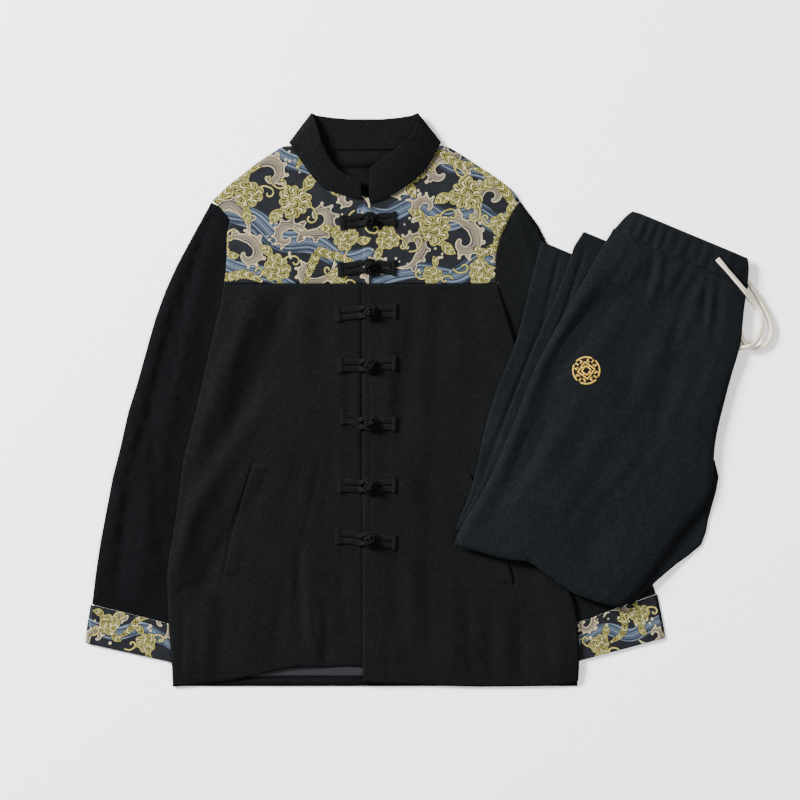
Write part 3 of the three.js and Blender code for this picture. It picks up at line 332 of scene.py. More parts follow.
def linen(name, dark, light, turn=0.0):
    """Dull black linen, lighter on its thick yarns and where it is worn."""
    material, shader = new_material(name, roughness=0.95, sheen=0.0, specular=0.04)
    plane = cloth_plane(material, turn)
    warp, weft = [node(material, "ShaderNodeTexWave", {
        "Vector": plane, "Scale": 1 / WEAVE_MM, "Distortion": 1.2, "Detail": 1.0, "Detail Scale": 0.6},
        "Fac", wave_type="BANDS", bands_direction=direction) for direction in "XY"]
    weave = node(material, "ShaderNodeMath", {0: warp, 1: weft}, operation="MULTIPLY")
    slubs = node(material, "ShaderNodeMath", {
        0: slub_flecks(material, plane, (SLUB_WIDE_MM, SLUB_LONG_MM, THROUGH_MM)),
        1: slub_flecks(material, plane, (SLUB_LONG_MM, SLUB_WIDE_MM, THROUGH_MM))}, operation="MAXIMUM")
    wear = stretched_noise(material, plane, (60, 90, 60), detail=2.0)
    share = 0.0
    for part, bright in ((slubs, SLUB_LIGHT), (wear, WEAR_LIGHT), (weave, WEAVE_LIGHT)):
        share = node(material, "ShaderNodeMath", {0: part, 1: bright, 2: share}, operation="MULTIPLY_ADD")
    colour = layered(material, dark, [(share, light)])
    height = node(material, "ShaderNodeMath", {0: weave, 1: 0.5, 2: slubs}, operation="MULTIPLY_ADD")
    return finish_material(material, shader, colour, height, YARN_RELIEF)


JACKET_LINEN = linen("black_slub_linen", "#040505", "#191a1b")
TROUSERS_LINEN = linen("black_linen_trousers", "#06080a", "#1d1f22", turn=TILT)
# The right sleeve's colours are darker than the other linens': painted shade.
RIGHT_SLEEVE_SHADED_LINEN = linen("black_sleeve_linen_right_painted_shade", "#030304", "#131517", turn=math.radians(14))
LEFT_SLEEVE_LINEN = linen("black_sleeve_linen_left", "#040505", "#181a1b", turn=math.radians(-24))
FROG_LINEN = linen("black_bias_binding", "#060707", "#18191a", turn=math.radians(45))
print("each linen has", len(JACKET_LINEN.node_tree.nodes), "nodes")

# %% [markdown]
# The lining is a grey polyester satin: long floats of smooth yarn, so it has a soft streaky gloss.
# The drawstring is a loosely braided ecru cotton cord, dull and slightly hairy. The medallion's thread
# is gold rayon, laid in satin stitch, so it shines along its fine ribs. The seams are sewn with a
# plain black polyester thread, a little smoother than the linen.

# %% Satin, cord and threads
BRAID_PACE = 2.2
RIB_MM = 0.7


def satin_lining():
    """Smooth floats give streaks of a soft gloss up and down the cloth."""
    material, shader = new_material("grey_satin_lining", roughness=0.55, sheen=0.0, specular=0.12)
    plane = cloth_plane(material)
    streaks = stretched_noise(material, plane, (1.5, 30, 30))
    colour = layered(material, "#121316", [(streaks, "#202125")])
    return finish_material(material, shader, colour, streaks, 0.06)


def cotton_cord():
    """The braid follows the cord through the two attributes that the sweep wrote; the grooves between its
    yarns are painted darker, as painted shade.
    """
    material, shader = new_material("ecru_cotton_cord", roughness=0.9, sheen=0.25, specular=0.2)
    along, around = [node(material, "ShaderNodeAttribute", {}, "Fac", attribute_name=name)
                     for name in ("along", "around")]
    lay = node(material, "ShaderNodeMath", {0: along, 1: BRAID_PACE}, operation="MULTIPLY")
    yarns = []
    for way in (4 * math.pi, -4 * math.pi):
        crossing = node(material, "ShaderNodeMath", {0: around, 1: way, 2: lay}, operation="MULTIPLY_ADD")
        yarns.append(node(material, "ShaderNodeMath", {0: crossing}, operation="SINE"))
    braid = node(material, "ShaderNodeMath", {0: yarns[0], 1: yarns[1]}, operation="MAXIMUM")
    share = node(material, "ShaderNodeMapRange", {"Value": braid, "From Min": -0.6, "From Max": 0.8})
    # The darker colour in the grooves between the yarns is painted shade.
    colour = layered(material, "#857a66", [(share, "#cfc5b2")])
    return finish_material(material, shader, colour, share, 0.35)


def gold_thread():
    """Satin-stitch thread lies across the stroke, so its fine ribs cross it; their tops are painted lighter
    and the gaps between them darker, as painted highlight and painted shade.
    """
    material, shader = new_material("gold_embroidery_thread", roughness=0.42, sheen=0.0, specular=0.6)
    along = node(material, "ShaderNodeAttribute", {}, "Fac", attribute_name="along")
    turns = node(material, "ShaderNodeMath", {0: along, 1: 2 * math.pi / RIB_MM}, operation="MULTIPLY")
    ribs = node(material, "ShaderNodeMath", {0: turns}, operation="SINE")
    share = node(material, "ShaderNodeMapRange", {"Value": ribs, "From Min": -1, "From Max": 1})
    # Lighter rib tops are painted highlight and darker gaps between them are painted shade.
    colour = layered(material, "#6f5503", [(share, "#b8901a")])
    return finish_material(material, shader, colour, share, 0.12)


def black_thread():
    """Too fine to show a structure, so it is one even colour."""
    material, shader = new_material("black_polyester_thread", roughness=0.7, sheen=0.0, specular=0.12)
    shader.inputs["Base Color"].default_value = linear("#101012")
    return material


LINING_SATIN = satin_lining()
COTTON_CORD = cotton_cord()
GOLD_THREAD = gold_thread()
BLACK_THREAD = black_thread()
for strand in strands:
    strand.data.materials.append(COTTON_CORD)
print(len(bpy.data.materials), "materials so far")

# %% [markdown]
# The printed cotton of the yokes and cuffs is a navy ground with blue streams, taupe scroll clouds
# with foam beads, and old-gold blossoms, leaves and fronds. The design is a generic one. Each motif
# is a distance that is worked out at every vertex and kept as an attribute: below zero is inside.
# The shader turns the distances into flat printed colours with fine drawn lines.

# %% Printed cotton
LINE_SOFT = 0.3
EDGE_SOFT = 0.35


def inside(material, name, offset=0.0):
    """1 inside a motif, 0 outside it, with a printed edge; offset moves the edge outwards."""
    distance = node(material, "ShaderNodeAttribute", {}, "Fac", attribute_name=name)
    return node(material, "ShaderNodeMapRange", {
        "Value": distance, "From Min": offset + EDGE_SOFT, "From Max": offset - EDGE_SOFT})


def drawn_lines(material, name, period, share):
    """Lines that repeat with a motif's own value and take up a share of each period."""
    value = node(material, "ShaderNodeAttribute", {}, "Fac", attribute_name=name)
    turns = node(material, "ShaderNodeMath", {0: value, 1: 2 * math.pi / period}, operation="MULTIPLY")
    wave = node(material, "ShaderNodeMath", {0: turns}, operation="COSINE")
    level = math.cos(math.pi * share)
    return node(material, "ShaderNodeMapRange", {
        "Value": wave, "From Min": level - LINE_SOFT, "From Max": level + LINE_SOFT})


def stream_colours(material, mottle):
    """Blue water, darker along one bank, with navy and pale lines along its flow."""
    flow = node(material, "ShaderNodeAttribute", {}, "Fac", attribute_name="flow")
    bank = node(material, "ShaderNodeMapRange", {"Value": flow, "From Min": -11, "From Max": 9})
    patches = node(material, "ShaderNodeMath", {0: mottle, 1: 0.5}, operation="MULTIPLY")
    return layered(material, "#141c29", [
        (bank, "#384352"), (patches, "#3d4853"), (drawn_lines(material, "flow", 5.3, 0.26), "#0c111c"),
        (drawn_lines(material, "flow", 7.4, 0.13), "#5b656e")])


def cloud_colours(material, mottle):
    """Taupe foam, shaded from lilac grey to cream across the curl, with a cream outline."""
    across = node(material, "ShaderNodeAttribute", {}, "Fac", attribute_name="curl")
    shade = node(material, "ShaderNodeMapRange", {"Value": across, "From Min": -7, "From Max": 7})
    patches = node(material, "ShaderNodeMath", {0: mottle, 1: 0.6}, operation="MULTIPLY")
    cloud = layered(material, "#27252c", [
        (shade, "#6f6551"), (patches, "#4f473d"), (drawn_lines(material, "curl", 4.6, 0.2), "#1e1d25"),
        (drawn_lines(material, "curl", 3.1, 0.12), "#7e755c")])
    return layered(material, "#988f72", [(inside(material, "cloud", -0.9), cloud)])


def gold_colours(material, fine):
    """Old-gold line work on a dark olive ground, with a few pale lines."""
    ground = layered(material, "#080907", [(fine, "#2d2a12")])
    line = layered(material, "#554f20", [(fine, "#87833f")])
    gold = layered(material, ground, [
        (drawn_lines(material, "petal", 1.0, 0.44), line),
        (drawn_lines(material, "petal", 3.0, 0.12), "#b7b188")])
    return layered(material, "#837d3e", [(inside(material, "gold", -0.7), gold)])


def printed_cotton():
    """The motifs lie over the navy ground in the order of printing, clouds and gold with a dark rim."""
    material, shader = new_material("printed_cotton", roughness=0.8, sheen=0.0, specular=0.15)
    plane = cloth_plane(material)
    mottle, fine = [node(material, "ShaderNodeMapRange", {
        "Value": stretched_noise(material, plane, sizes, detail=detail), "From Min": 0.35, "From Max": 0.7})
        for sizes, detail in (((14, 9, 14), 4), ((3.2, 3.2, 6), 2))]
    colour = layered(material, "#040609", [
        (mottle, "#0c0e15"), (inside(material, "stream"), stream_colours(material, mottle)),
        (inside(material, "cloud", 0.9), "#05060b"),
        (inside(material, "cloud"), cloud_colours(material, mottle)),
        (inside(material, "gold", 0.9), "#050606"),
        (inside(material, "gold"), gold_colours(material, fine)),
        (inside(material, "bead"), "#8b8167")])
    thread = stretched_noise(material, plane, (0.9, 0.9, 6), detail=1)
    return finish_material(material, shader, colour, thread, 0.05)


PRINTED_COTTON = printed_cotton()
print("printed cotton has", len(PRINTED_COTTON.node_tree.nodes), "nodes")

# %% [markdown]
# Every panel is a thin wall. The outer face of its solid is taken as one open sheet, its triangles are
# joined to quads and divided until the cells are a few millimetres wide, and then the sheet is moved
# by hand-placed folds. Solidify gives it back its thickness at the end, so the edges keep their form.

# %% Sheets from the solids
LOOKS_UP = 0.15
TUBE_TOP_ABOVE = 1.7
TUBE_FOOT_BELOW = 0.9
MERGE = 0.000001
SHEET_JOIN = 0.7
JOIN_SHAPE = 1.2
CORNER = math.radians(35)


def faces_up(face):
    """The side of a laid panel that shows."""
    return face.normal.z > LOOKS_UP


def outside_of_tube(face):
    """A flattened tube's outer faces: its top looks up from above the hollow, its underside down."""
    height = face.calc_center_median().z / MM
    if face.normal.z > 0:
        return height > TUBE_TOP_ABOVE
    return height < TUBE_FOOT_BELOW


def merged_copy(node_name):
    """A bmesh of a CAD node's mesh whose faces share their corners."""
    bm = bmesh.new()
    bm.from_mesh(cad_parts[node_name].data)
    bmesh.ops.remove_doubles(bm, verts=bm.verts, dist=MERGE)
    return bm


def outer_sheet(node_name, keep):
    """The wanted faces of a CAD node's mesh, joined to quads."""
    bm = merged_copy(node_name)
    bm.normal_update()
    bmesh.ops.delete(bm, geom=[face for face in bm.faces if not keep(face)], context="FACES")
    bmesh.ops.join_triangles(bm, faces=bm.faces, angle_face_threshold=SHEET_JOIN,
                             angle_shape_threshold=JOIN_SHAPE)
    return bm


def refine(bm, spacing_mm, region=None):
    """Divides long edges in halves until none is longer than the spacing."""
    chosen = region or (lambda edge: True)
    while True:
        long_edges = [e for e in bm.edges if e.calc_length() > spacing_mm * MM and chosen(e)]
        if not long_edges:
            return
        bmesh.ops.subdivide_edges(bm, edges=long_edges, cuts=1, use_grid_fill=True)


def soften(bm, times, chosen=None):
    """Evens out the heights, so that no facet of the solid shows."""
    verts = [vert for vert in bm.verts if chosen is None or chosen(vert)]
    for _ in range(times):
        bmesh.ops.smooth_vert(bm, verts=verts, factor=0.5, use_axis_z=True)


def round_outline(bm, times):
    """Draws the edge of the sheet as one round line between its corners."""
    edge_verts = [vert for vert in bm.verts if vert.is_boundary]
    beside = {}
    for vert in edge_verts:
        others = [e.other_vert(vert) for e in vert.link_edges if e.is_boundary]
        if len(others) == 2:
            turn = (vert.co - others[0].co).xy.angle((others[1].co - vert.co).xy, 0)
            if turn < CORNER:
                beside[vert] = others
    for _ in range(times):
        moved = {vert: (a.co + b.co) / 2 for vert, (a, b) in beside.items()}
        for vert, middle in moved.items():
            vert.co.xy = vert.co.xy.lerp(middle.xy, 0.5)


def distances_from(bm, chosen):
    """How far each vertex is from the nearest of the chosen ones, seen from above, in millimetres."""
    tree = kdtree.KDTree(len(chosen))
    for number, vert in enumerate(chosen):
        tree.insert((vert.co.x, vert.co.y, 0), number)
    tree.balance()
    return np.array([tree.find((vert.co.x, vert.co.y, 0))[2] / MM for vert in bm.verts])


def places_in(bm, to_garment):
    """The vertices' places in a garment's own frame, in millimetres."""
    return np.array([to_garment @ vert.co for vert in bm.verts])


# %% [markdown]
# Folds are short rows of numbers: where a fold starts and ends, how wide it is and how high, less
# than zero for a trough. Each is a soft ridge that fades at its ends, and they are added up. A slight
# unevenness lies below them all, because cloth that is laid by hand is never quite flat.

# %% Folds
FOLD_END_REACH = 1.5
FOLD_END_SHARE = 0.55
RUMPLE_BROAD = (62, 85)
RUMPLE_SMALL = (17, 23)
SMALL_SHARE = 0.28


def fold_heights(places, folds):
    """The sum of soft ridges and troughs; each row is (x1, y1, x2, y2, half width, height)."""
    total = np.zeros(len(places))
    for x1, y1, x2, y2, width, height in folds:
        step = np.array([x2 - x1, y2 - y1])
        length = np.hypot(*step)
        step = step / length
        offset = places[:, :2] - (x1, y1)
        along = offset @ step
        off = offset[:, 0] * step[1] - offset[:, 1] * step[0]
        past = np.maximum(0, np.maximum(-along, along - length)) / (FOLD_END_REACH * width)
        middle = np.sin(np.clip(along / length, 0, 1) * math.pi)
        taper = FOLD_END_SHARE + (1 - FOLD_END_SHARE) * middle
        total += height * taper * np.exp(-((off / width) ** 2) - past ** 2)
    return total


def rumple_heights(places, amount, seed):
    """Slight unevenness of cloth that has been worn and laid out by hand."""
    heights = []
    for x, y, _ in places:
        broad = noise.noise(Vector((x / RUMPLE_BROAD[0], y / RUMPLE_BROAD[1], seed)))
        small = noise.noise(Vector((x / RUMPLE_SMALL[0], y / RUMPLE_SMALL[1], seed + 9)))
        heights.append(broad + SMALL_SHARE * small)
    return amount * np.array(heights)


def lift(bm, heights):
    """Raises every vertex by its own height in millimetres."""
    for vert, height in zip(bm.verts, heights):
        vert.co.z += height * MM


def stay_on_table(bm, heights_before, wall_mm):
    """Raises what would sink into the table; a place that was lower before keeps its height."""
    for vert, before in zip(bm.verts, heights_before):
        vert.co.z = max(vert.co.z, min(before, wall_mm) * MM)


# %% [markdown]
# A finished sheet gets its wall, its cloth and a note of the flat piece that it was cut from. What is
# sewn on later has to know how high the cloth lies, so a ray looks straight down at the finished faces.

# %% Walls, notes and heights
LOOK_FROM = 0.1


def walled(piece, thickness_mm):
    """Gives a sheet its thickness, downwards from the face that shows."""
    solidify = piece.modifiers.new("thickness", "SOLIDIFY")
    solidify.thickness = thickness_mm * MM
    solidify.offset = -1
    return piece


def belongs(piece, material):
    """Gives a piece its material and its slot; everything rides on the one body."""
    piece.data.materials.append(material)
    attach(piece, "root")


def dress(piece, node_name, material, flat):
    """Hides the solid that a cloth piece stands for, gives the piece its cloth and prints the flat cut it
    was made from.
    """
    belongs(piece, material)
    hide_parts(node_name)
    surface = sum(polygon.area for polygon in piece.data.polygons) / MM / MM
    print(f"{piece.name}: {len(piece.data.polygons)} faces,",
          f"{surface:.0f} square mm of a cut of {flat[0]} x {flat[1]}")
    return piece


def evaluated_tree(pieces):
    """One search tree over the finished faces of several pieces."""
    depsgraph = bpy.context.evaluated_depsgraph_get()
    corners, faces = [], []
    for piece in pieces:
        mesh = piece.evaluated_get(depsgraph).to_mesh()
        start = len(corners)
        corners.extend(vert.co.copy() for vert in mesh.vertices)
        faces.extend([start + number for number in polygon.vertices] for polygon in mesh.polygons)
    return BVHTree.FromPolygons(corners, faces)


def cloth_height(x, y, tree, matrix):
    """The height in millimetres of the cloth under a place of a garment's frame."""
    place = matrix @ Vector((x, y, 0))
    hit = tree.ray_cast(Vector((place.x, place.y, LOOK_FROM)), Vector((0, 0, -1)))[0]
    return hit.z / MM if hit else 0.0


# %% [markdown]
# Most panels are made in one way: the sheet is refined, more finely along a pocket's slit or a pressed
# line, its outline is rounded, and then it is creased. Folds fade towards the seams, where the next
# panel holds the cloth flat, while grooves of pressed edges run on to the very edge.

# %% Creased panels
SLIT_SPACING = 1.6
SLIT_REACH = 7
FADE_MM = 14
OUTLINE_ROUNDS = 20


def beside_slit(slit, x, y):
    """How far a place lies to the right of a pocket's slit, level with it."""
    return x - np.interp(y, [up for _, up in slit], [across for across, _ in slit])


def near_slit(edge, to_garment, slits):
    """Whether an edge's middle lies close to one of the slits."""
    middle = to_garment @ ((edge.verts[0].co + edge.verts[1].co) / 2)
    return any(slit[0][1] - SLIT_REACH < middle.y < slit[-1][1] + SLIT_REACH
               and abs(beside_slit(slit, middle.x, middle.y)) < SLIT_REACH for slit in slits)


def tuck_under(bm, to_garment, above_y, above_z, step):
    """Lengthens the sheet's upper edge by a step in millimetres, so that it slips under its neighbour."""
    def chosen(vert):
        place = to_garment @ vert.co
        return place.y > above_y and place.z > above_z

    edges = [edge for edge in bm.edges if edge.is_boundary and all(chosen(vert) for vert in edge.verts)]
    made = bmesh.ops.extrude_edge_only(bm, edges=edges)["geom"]
    verts = [item for item in made if isinstance(item, bmesh.types.BMVert)]
    bmesh.ops.translate(bm, verts=verts, vec=to_garment.inverted().to_3x3() @ Vector(step))
    bm.normal_update()


def creased_panel(name, node_name, to_garment, folds, spacing_mm, rumple, seed, wall_mm, edge_drop=0.9,
                  edge_width=2.2, soften_times=8, fade_mm=FADE_MM, slits=(), grooves=(), tuck=None):
    """A laid panel with its folds, its edges rolled under at the seams."""
    bm = outer_sheet(node_name, faces_up)
    if tuck:
        tuck_under(bm, to_garment, *tuck)
    refine(bm, spacing_mm)
    if slits:
        refine(bm, SLIT_SPACING, lambda edge: near_slit(edge, to_garment, slits))
    soften(bm, soften_times)
    round_outline(bm, OUTLINE_ROUNDS)
    edge = distances_from(bm, [vert for vert in bm.verts if vert.is_boundary])
    places = places_in(bm, to_garment)
    fade = np.clip(edge / fade_mm, 0, 1)
    heights = (fold_heights(places, folds) + rumple_heights(places, rumple, seed)) * fade
    heights += fold_heights(places, grooves) - edge_drop * np.exp(-((edge / edge_width) ** 2))
    lift(bm, heights)
    stay_on_table(bm, places[:, 2], wall_mm)
    return walled(as_object(bm, name), wall_mm)


# %% [markdown]
# The back lies at the bottom of the jacket. Only its neck facing and its hem facing show, but it
# carries all the rest, so it is made whole, with the strip of lining that shows above the hem.

# %% Back and lining
BACK_WALL = 1.4
LINING_WALL = 0.9
BACK_FOLDS = [
    (-40, 700, 40, 694, 9, 0.5), (-120, 20, 120, 16, 5, -0.3),
]
LINING_FOLDS = [
    (-120, 22, -96, 32, 3, 0.3), (-60, 18, -20, 26, 3, 0.35), (-30, 30, 0, 22, 3, -0.3),
]

back = creased_panel("cloth_back", "jacket_back", TO_JACKET, BACK_FOLDS, 9, 0.15, 1, BACK_WALL)
dress(back, "jacket_back", JACKET_LINEN, (555, 722))
lining = creased_panel("satin_back_lining", "jacket_back_lining", TO_JACKET, LINING_FOLDS, 3, 0.2, 2,
                       LINING_WALL, edge_drop=0.2)
dress(lining, "jacket_back_lining", LINING_SATIN, (162, 23))

# %% [markdown]
# The two fronts are long panels that are laid flat. Folds run from the armholes down to the waist,
# above and beside the pockets and up from the hem. They are long, shallow and uneven. The pocket
# slits, the front opening and the facing's pressed line are narrow troughs of their own.

# %% Lower fronts
FRONT_WALL = 1.6
RIGHT_SLIT = [(-188, 150), (-177, 207), (-161, 260), (-148, 300)]
LEFT_SLIT = [(202, 138), (192, 173), (160, 252), (142, 288)]
OPENING_SLIT = [(-1.8, 0), (-1.8, 270), (-1.8, 545)]
FACING_LINE = [(9.5, 200), (9.0, 360), (4.5, 440), (3.5, 545)]
OPENING_GROOVE = [(-3.0, 545, -2.6, 262, 2.4, -2.0), (-2.2, 262, -2.2, 4, 1.8, -0.8)]
FACING_GROOVE = [
    (3.5, 545, 4.5, 440, 1.5, -0.5), (4.5, 440, 9.0, 360, 1.5, -0.5), (9.0, 360, 9.5, 200, 1.7, -0.6),
]
RIGHT_SLIT_FOLDS = [
    (-190, 150, -179, 207, 2.4, -1.8), (-179, 207, -163, 260, 2.4, -1.8), (-163, 260, -150, 300, 2.4, -1.8),
]
RIGHT_FRONT_FOLDS = [
    (-138, 545, -154, 492, 15, 3.4), (-154, 492, -193, 412, 16, 3.8), (-193, 412, -232, 318, 15, 2.8),
    (-98, 535, -118, 478, 14, -2.6), (-118, 478, -158, 392, 16, -3.0), (-158, 392, -206, 288, 15, -2.4),
    (-136, 384, -182, 318, 14, 2.6), (-182, 318, -230, 238, 15, 4.2), (-230, 238, -262, 150, 13, 3.4),
    (-142, 268, -188, 192, 14, -3.2), (-188, 192, -232, 112, 12, -2.6), (-72, 330, -110, 230, 13, -1.2),
    (-58, 520, -70, 400, 12, -1.2), (-36, 510, -34, 380, 10, 1.0), (-40, 350, -52, 230, 10, -1.0),
    (-20, 420, -24, 300, 7, -0.8), (-88, 179, -84, 70, 8, -1.8), (-76, 150, -72, 60, 7, 1.3),
    (-52, 110, -50, 24, 6, -1.5), (-62, 90, -62, 30, 6, 1.1), (-110, 130, -118, 40, 10, -1.4),
    (-150, 120, -160, 30, 11, 1.3), (-241, 130, -247, 12, 6, -1.6), (-190, 110, -194, 20, 9, -1.3),
    (-212, 96, -214, 20, 8, 1.3), (-259, 121, -228, 138, 6, -1.2), (-30, 180, -26, 80, 8, -1.0),
    (-59, 306, -82, 200, 5, -0.8), (-82, 200, -94, 117, 5, -0.8), (-70, 94, -53, 35, 4, -0.9),
]
LEFT_FRONT_FOLDS = [
    (204, 138, 194, 173, 2.2, -1.4), (194, 173, 162, 252, 2.2, -1.4), (162, 252, 144, 288, 2.2, -1.4),
    (51, 440, 51, 333, 11, -2.1), (66, 520, 60, 400, 10, -1.4), (34, 470, 33, 360, 8, 1.3),
    (78, 420, 82, 300, 11, 1.3), (104, 520, 96, 410, 12, -1.4), (130, 500, 124, 400, 11, 1.1),
    (166, 440, 190, 374, 12, -2.0), (140, 535, 158, 480, 10, -1.5), (28, 330, 34, 230, 9, -1.3),
    (58, 310, 66, 220, 11, 1.3), (86, 300, 96, 200, 11, -1.4), (40, 190, 46, 70, 10, -1.4),
    (62, 170, 66, 60, 8, 1.1), (84, 170, 92, 50, 9, -1.4), (120, 150, 122, 30, 10, 1.3),
    (140, 120, 144, 24, 7, -1.1), (170, 98, 170, 8, 8, -1.5), (211, 100, 212, 20, 7, -1.5),
    (190, 100, 192, 16, 8, 1.3), (245, 80, 250, 12, 8, -1.3), (30, 70, 32, 16, 6, -0.8),
]

front_right = creased_panel("cloth_front_right", "jacket_front_right", TO_JACKET,
                            RIGHT_SLIT_FOLDS + RIGHT_FRONT_FOLDS, 4, 0.32, 3, FRONT_WALL,
                            slits=(RIGHT_SLIT, OPENING_SLIT), grooves=OPENING_GROOVE)
dress(front_right, "jacket_front_right", JACKET_LINEN, (285, 543))
front_left = creased_panel("cloth_front_left", "jacket_front_left", TO_JACKET, LEFT_FRONT_FOLDS,
                           4, 0.32, 4, FRONT_WALL, slits=(LEFT_SLIT, FACING_LINE),
                           grooves=FACING_GROOVE, edge_drop=0.35, edge_width=1.4)
dress(front_left, "jacket_front_left", JACKET_LINEN, (292, 543))

# %% [markdown]
# A sleeve is a tube that has been pressed flat. Both of its outer faces are kept as one sheet, and
# only the upper one is finely divided, because the lower one lies on the table.

# %% Sleeves
SLEEVE_WALL = 1.1
CUFF_WALL = 1.3
TUBE_TOP_FROM = 1.75
TUBE_FADE_MM = 12
RIGHT_SLEEVE_FOLDS = [
    (-236, 600, -290, 430, 11, 1.8), (-290, 430, -330, 250, 11, 2.0), (-330, 250, -350, 130, 9, 1.6),
    (-226, 540, -256, 400, 10, 1.2), (-256, 400, -288, 250, 11, 1.8), (-288, 250, -304, 120, 10, 1.6),
    (-262, 330, -280, 200, 7, 0.9), (-228, 460, -240, 380, 7, 0.9), (-318, 210, -332, 120, 6, 0.8),
    (-209, 637, -242, 520, 8, -2.0), (-242, 520, -265, 401, 8, -1.6), (-254, 520, -294, 354, 7, -1.6),
    (-294, 354, -319, 283, 7, -1.8), (-319, 283, -330, 130, 7, -2.0), (-286, 366, -279, 224, 7, -1.8),
    (-279, 224, -265, 130, 7, -1.8),
]
LEFT_SLEEVE_FOLDS = [
    (208, 630, 236, 540, 9, 1.6), (236, 540, 262, 480, 10, 1.3), (236, 610, 262, 540, 8, 0.9),
    (320, 180, 350, 110, 8, 1.2), (350, 190, 380, 120, 8, 1.0),
]


def tube_cloth(name, node_name, to_garment, folds, spacing_mm, rumple, seed, wall_mm, tuck=None):
    """A tube pressed flat, whose upper side carries the folds."""
    bm = outer_sheet(node_name, outside_of_tube)
    if tuck:
        tuck_under(bm, to_garment, *tuck)
    top = TUBE_TOP_FROM * MM
    refine(bm, spacing_mm, lambda e: all(vert.co.z > top for vert in e.verts))
    soften(bm, 6, lambda vert: vert.co.z > top)
    edge = distances_from(bm, [vert for vert in bm.verts if vert.co.z <= top or vert.is_boundary])
    places = places_in(bm, to_garment)
    fade = np.clip(edge / TUBE_FADE_MM, 0, 1)
    lift(bm, (fold_heights(places, folds) + rumple_heights(places, rumple, seed)) * fade)
    return walled(as_object(bm, name), wall_mm)


sleeve_right = tube_cloth("cloth_sleeve_right", "jacket_sleeve_right", TO_JACKET, RIGHT_SLEEVE_FOLDS,
                          4, 0.22, 5, SLEEVE_WALL, tuck=(400, TUBE_TOP_FROM, (3, 0, -0.5)))
dress(sleeve_right, "jacket_sleeve_right", RIGHT_SLEEVE_SHADED_LINEN, (470, 245))
sleeve_left = tube_cloth("cloth_sleeve_left", "jacket_sleeve_left", TO_JACKET, LEFT_SLEEVE_FOLDS,
                         4, 0.22, 6, SLEEVE_WALL, tuck=(400, TUBE_TOP_FROM, (-3, 0, -0.5)))
dress(sleeve_left, "jacket_sleeve_left", LEFT_SLEEVE_LINEN, (500, 245))

# %% [markdown]
# The yokes and the cuffs are of printed cotton. The print is kept at the vertices, so these pieces
# are finely divided all over. They lie nearly flat, since the fronts and sleeves hold them straight.

# %% Yokes and cuffs
PRINT_SPACING = 1.9


def printed_piece(kind, side, cut, make, rumple, seed, wall_mm):
    """One yoke or cuff, made in the given way, ready for its print."""
    piece = make(f"printed_{kind}_{side}", f"jacket_{kind}_{side}", TO_JACKET, [], PRINT_SPACING, rumple,
                 seed, wall_mm)
    return dress(piece, f"jacket_{kind}_{side}", PRINTED_COTTON, cut)


yokes = [printed_piece("yoke", side, (205, 190), creased_panel, 0.25, seed, FRONT_WALL)
         for side, area, seed in (("right", 32000, 7), ("left", 30000, 8))]
cuffs = [printed_piece("cuff", side, (228, 60), tube_cloth, 0.15, seed, CUFF_WALL)
         for side, seed in (("right", 9), ("left", 10))]

# %% [markdown]
# The stand collar is a stiffened band that stands up round the neck. It keeps the solid's form, and
# only its edges are rounded, as a turned and pressed edge is. The folded trousers' lower layers are
# made in the same way further on.

# %% Collar
BLOCK_JOIN = 0.5
SHARP = 0.9
TOP_SIDE = 0.4


def soft_block(name, node_name, spacing_mm, bevel_mm, to_garment=None, folds=()):
    """A copy of a CAD solid with rounded edges, and with folds on its upper side."""
    bm = merged_copy(node_name)
    bmesh.ops.join_triangles(bm, faces=bm.faces, angle_face_threshold=BLOCK_JOIN,
                             angle_shape_threshold=JOIN_SHAPE)
    sharp = [edge for edge in bm.edges if edge.calc_face_angle(0) > SHARP]
    bmesh.ops.bevel(bm, geom=sharp, offset=bevel_mm * MM, segments=2, profile=0.5, affect="EDGES",
                    material=-1, clamp_overlap=True)
    refine(bm, spacing_mm)
    if folds:
        bm.normal_update()
        heights = fold_heights(places_in(bm, to_garment), folds)
        lift(bm, [height if vert.normal.z > TOP_SIDE else 0 for vert, height in zip(bm.verts, heights)])
    return as_object(bm, name)


collar = soft_block("cloth_collar", "jacket_collar", 5, 0.5)
dress(collar, "jacket_collar", JACKET_LINEN, (440, 42))

# %% [markdown]
# Each pocket has a narrow slanted welt that covers the slit. It stands up a little along the slit and
# is sewn down flat along its far side and its two ends, so only the slit's own side casts a shadow.

# %% Pocket welts
WELT_WALL = 0.35
WELT_SPACING = 2.2
WELT_WIDTH = 21
WELT_STANDS = 1.5
WELT_SINKS = 1.65
WELT_END = 6
SLIT_CLEAR = 5


def make_welt(side, slit, inward, front):
    """The welt stands up at the slit and is sewn down flat along its other edges."""
    bm = outer_sheet(f"pocket_welt_{side}", faces_up)
    refine(bm, WELT_SPACING)
    tree = evaluated_tree([front])
    for vert in bm.verts:
        place = TO_JACKET @ vert.co
        across = min(abs(beside_slit(slit, place.x, place.y)) / WELT_WIDTH, 1)
        from_end = min(place.y - slit[0][1], slit[-1][1] - place.y)
        sewn = max(across ** 2, 1 - min(max(from_end / WELT_END, 0), 1))
        under = cloth_height(place.x + inward * SLIT_CLEAR * (1 - across), place.y, tree, JACKET)
        vert.co.z = (under + WELT_STANDS - WELT_SINKS * sewn) * MM
    return walled(as_object(bm, f"cloth_welt_{side}"), WELT_WALL)


POCKETS = {"right": (RIGHT_SLIT, 1, front_right), "left": (LEFT_SLIT, -1, front_left)}
for side, pocket in POCKETS.items():
    dress(make_welt(side, *pocket), f"pocket_welt_{side}", JACKET_LINEN, (158, 21))

# %% [markdown]
# A narrow facing covers the seam at the back of the neck. It lies on the back and slips under the
# lower edge of the collar, so no light comes through the seam.

# %% Neck facing
FACING_WALL = 0.6
FACING_SIDES = (-54, 44)
FACING_ROWS = [(731, 1.2), (727, 1.5), (724, 2.0), (719, 2.3), (710, 2.3), (699, 2.2)]
FACING_STRIPS = 28


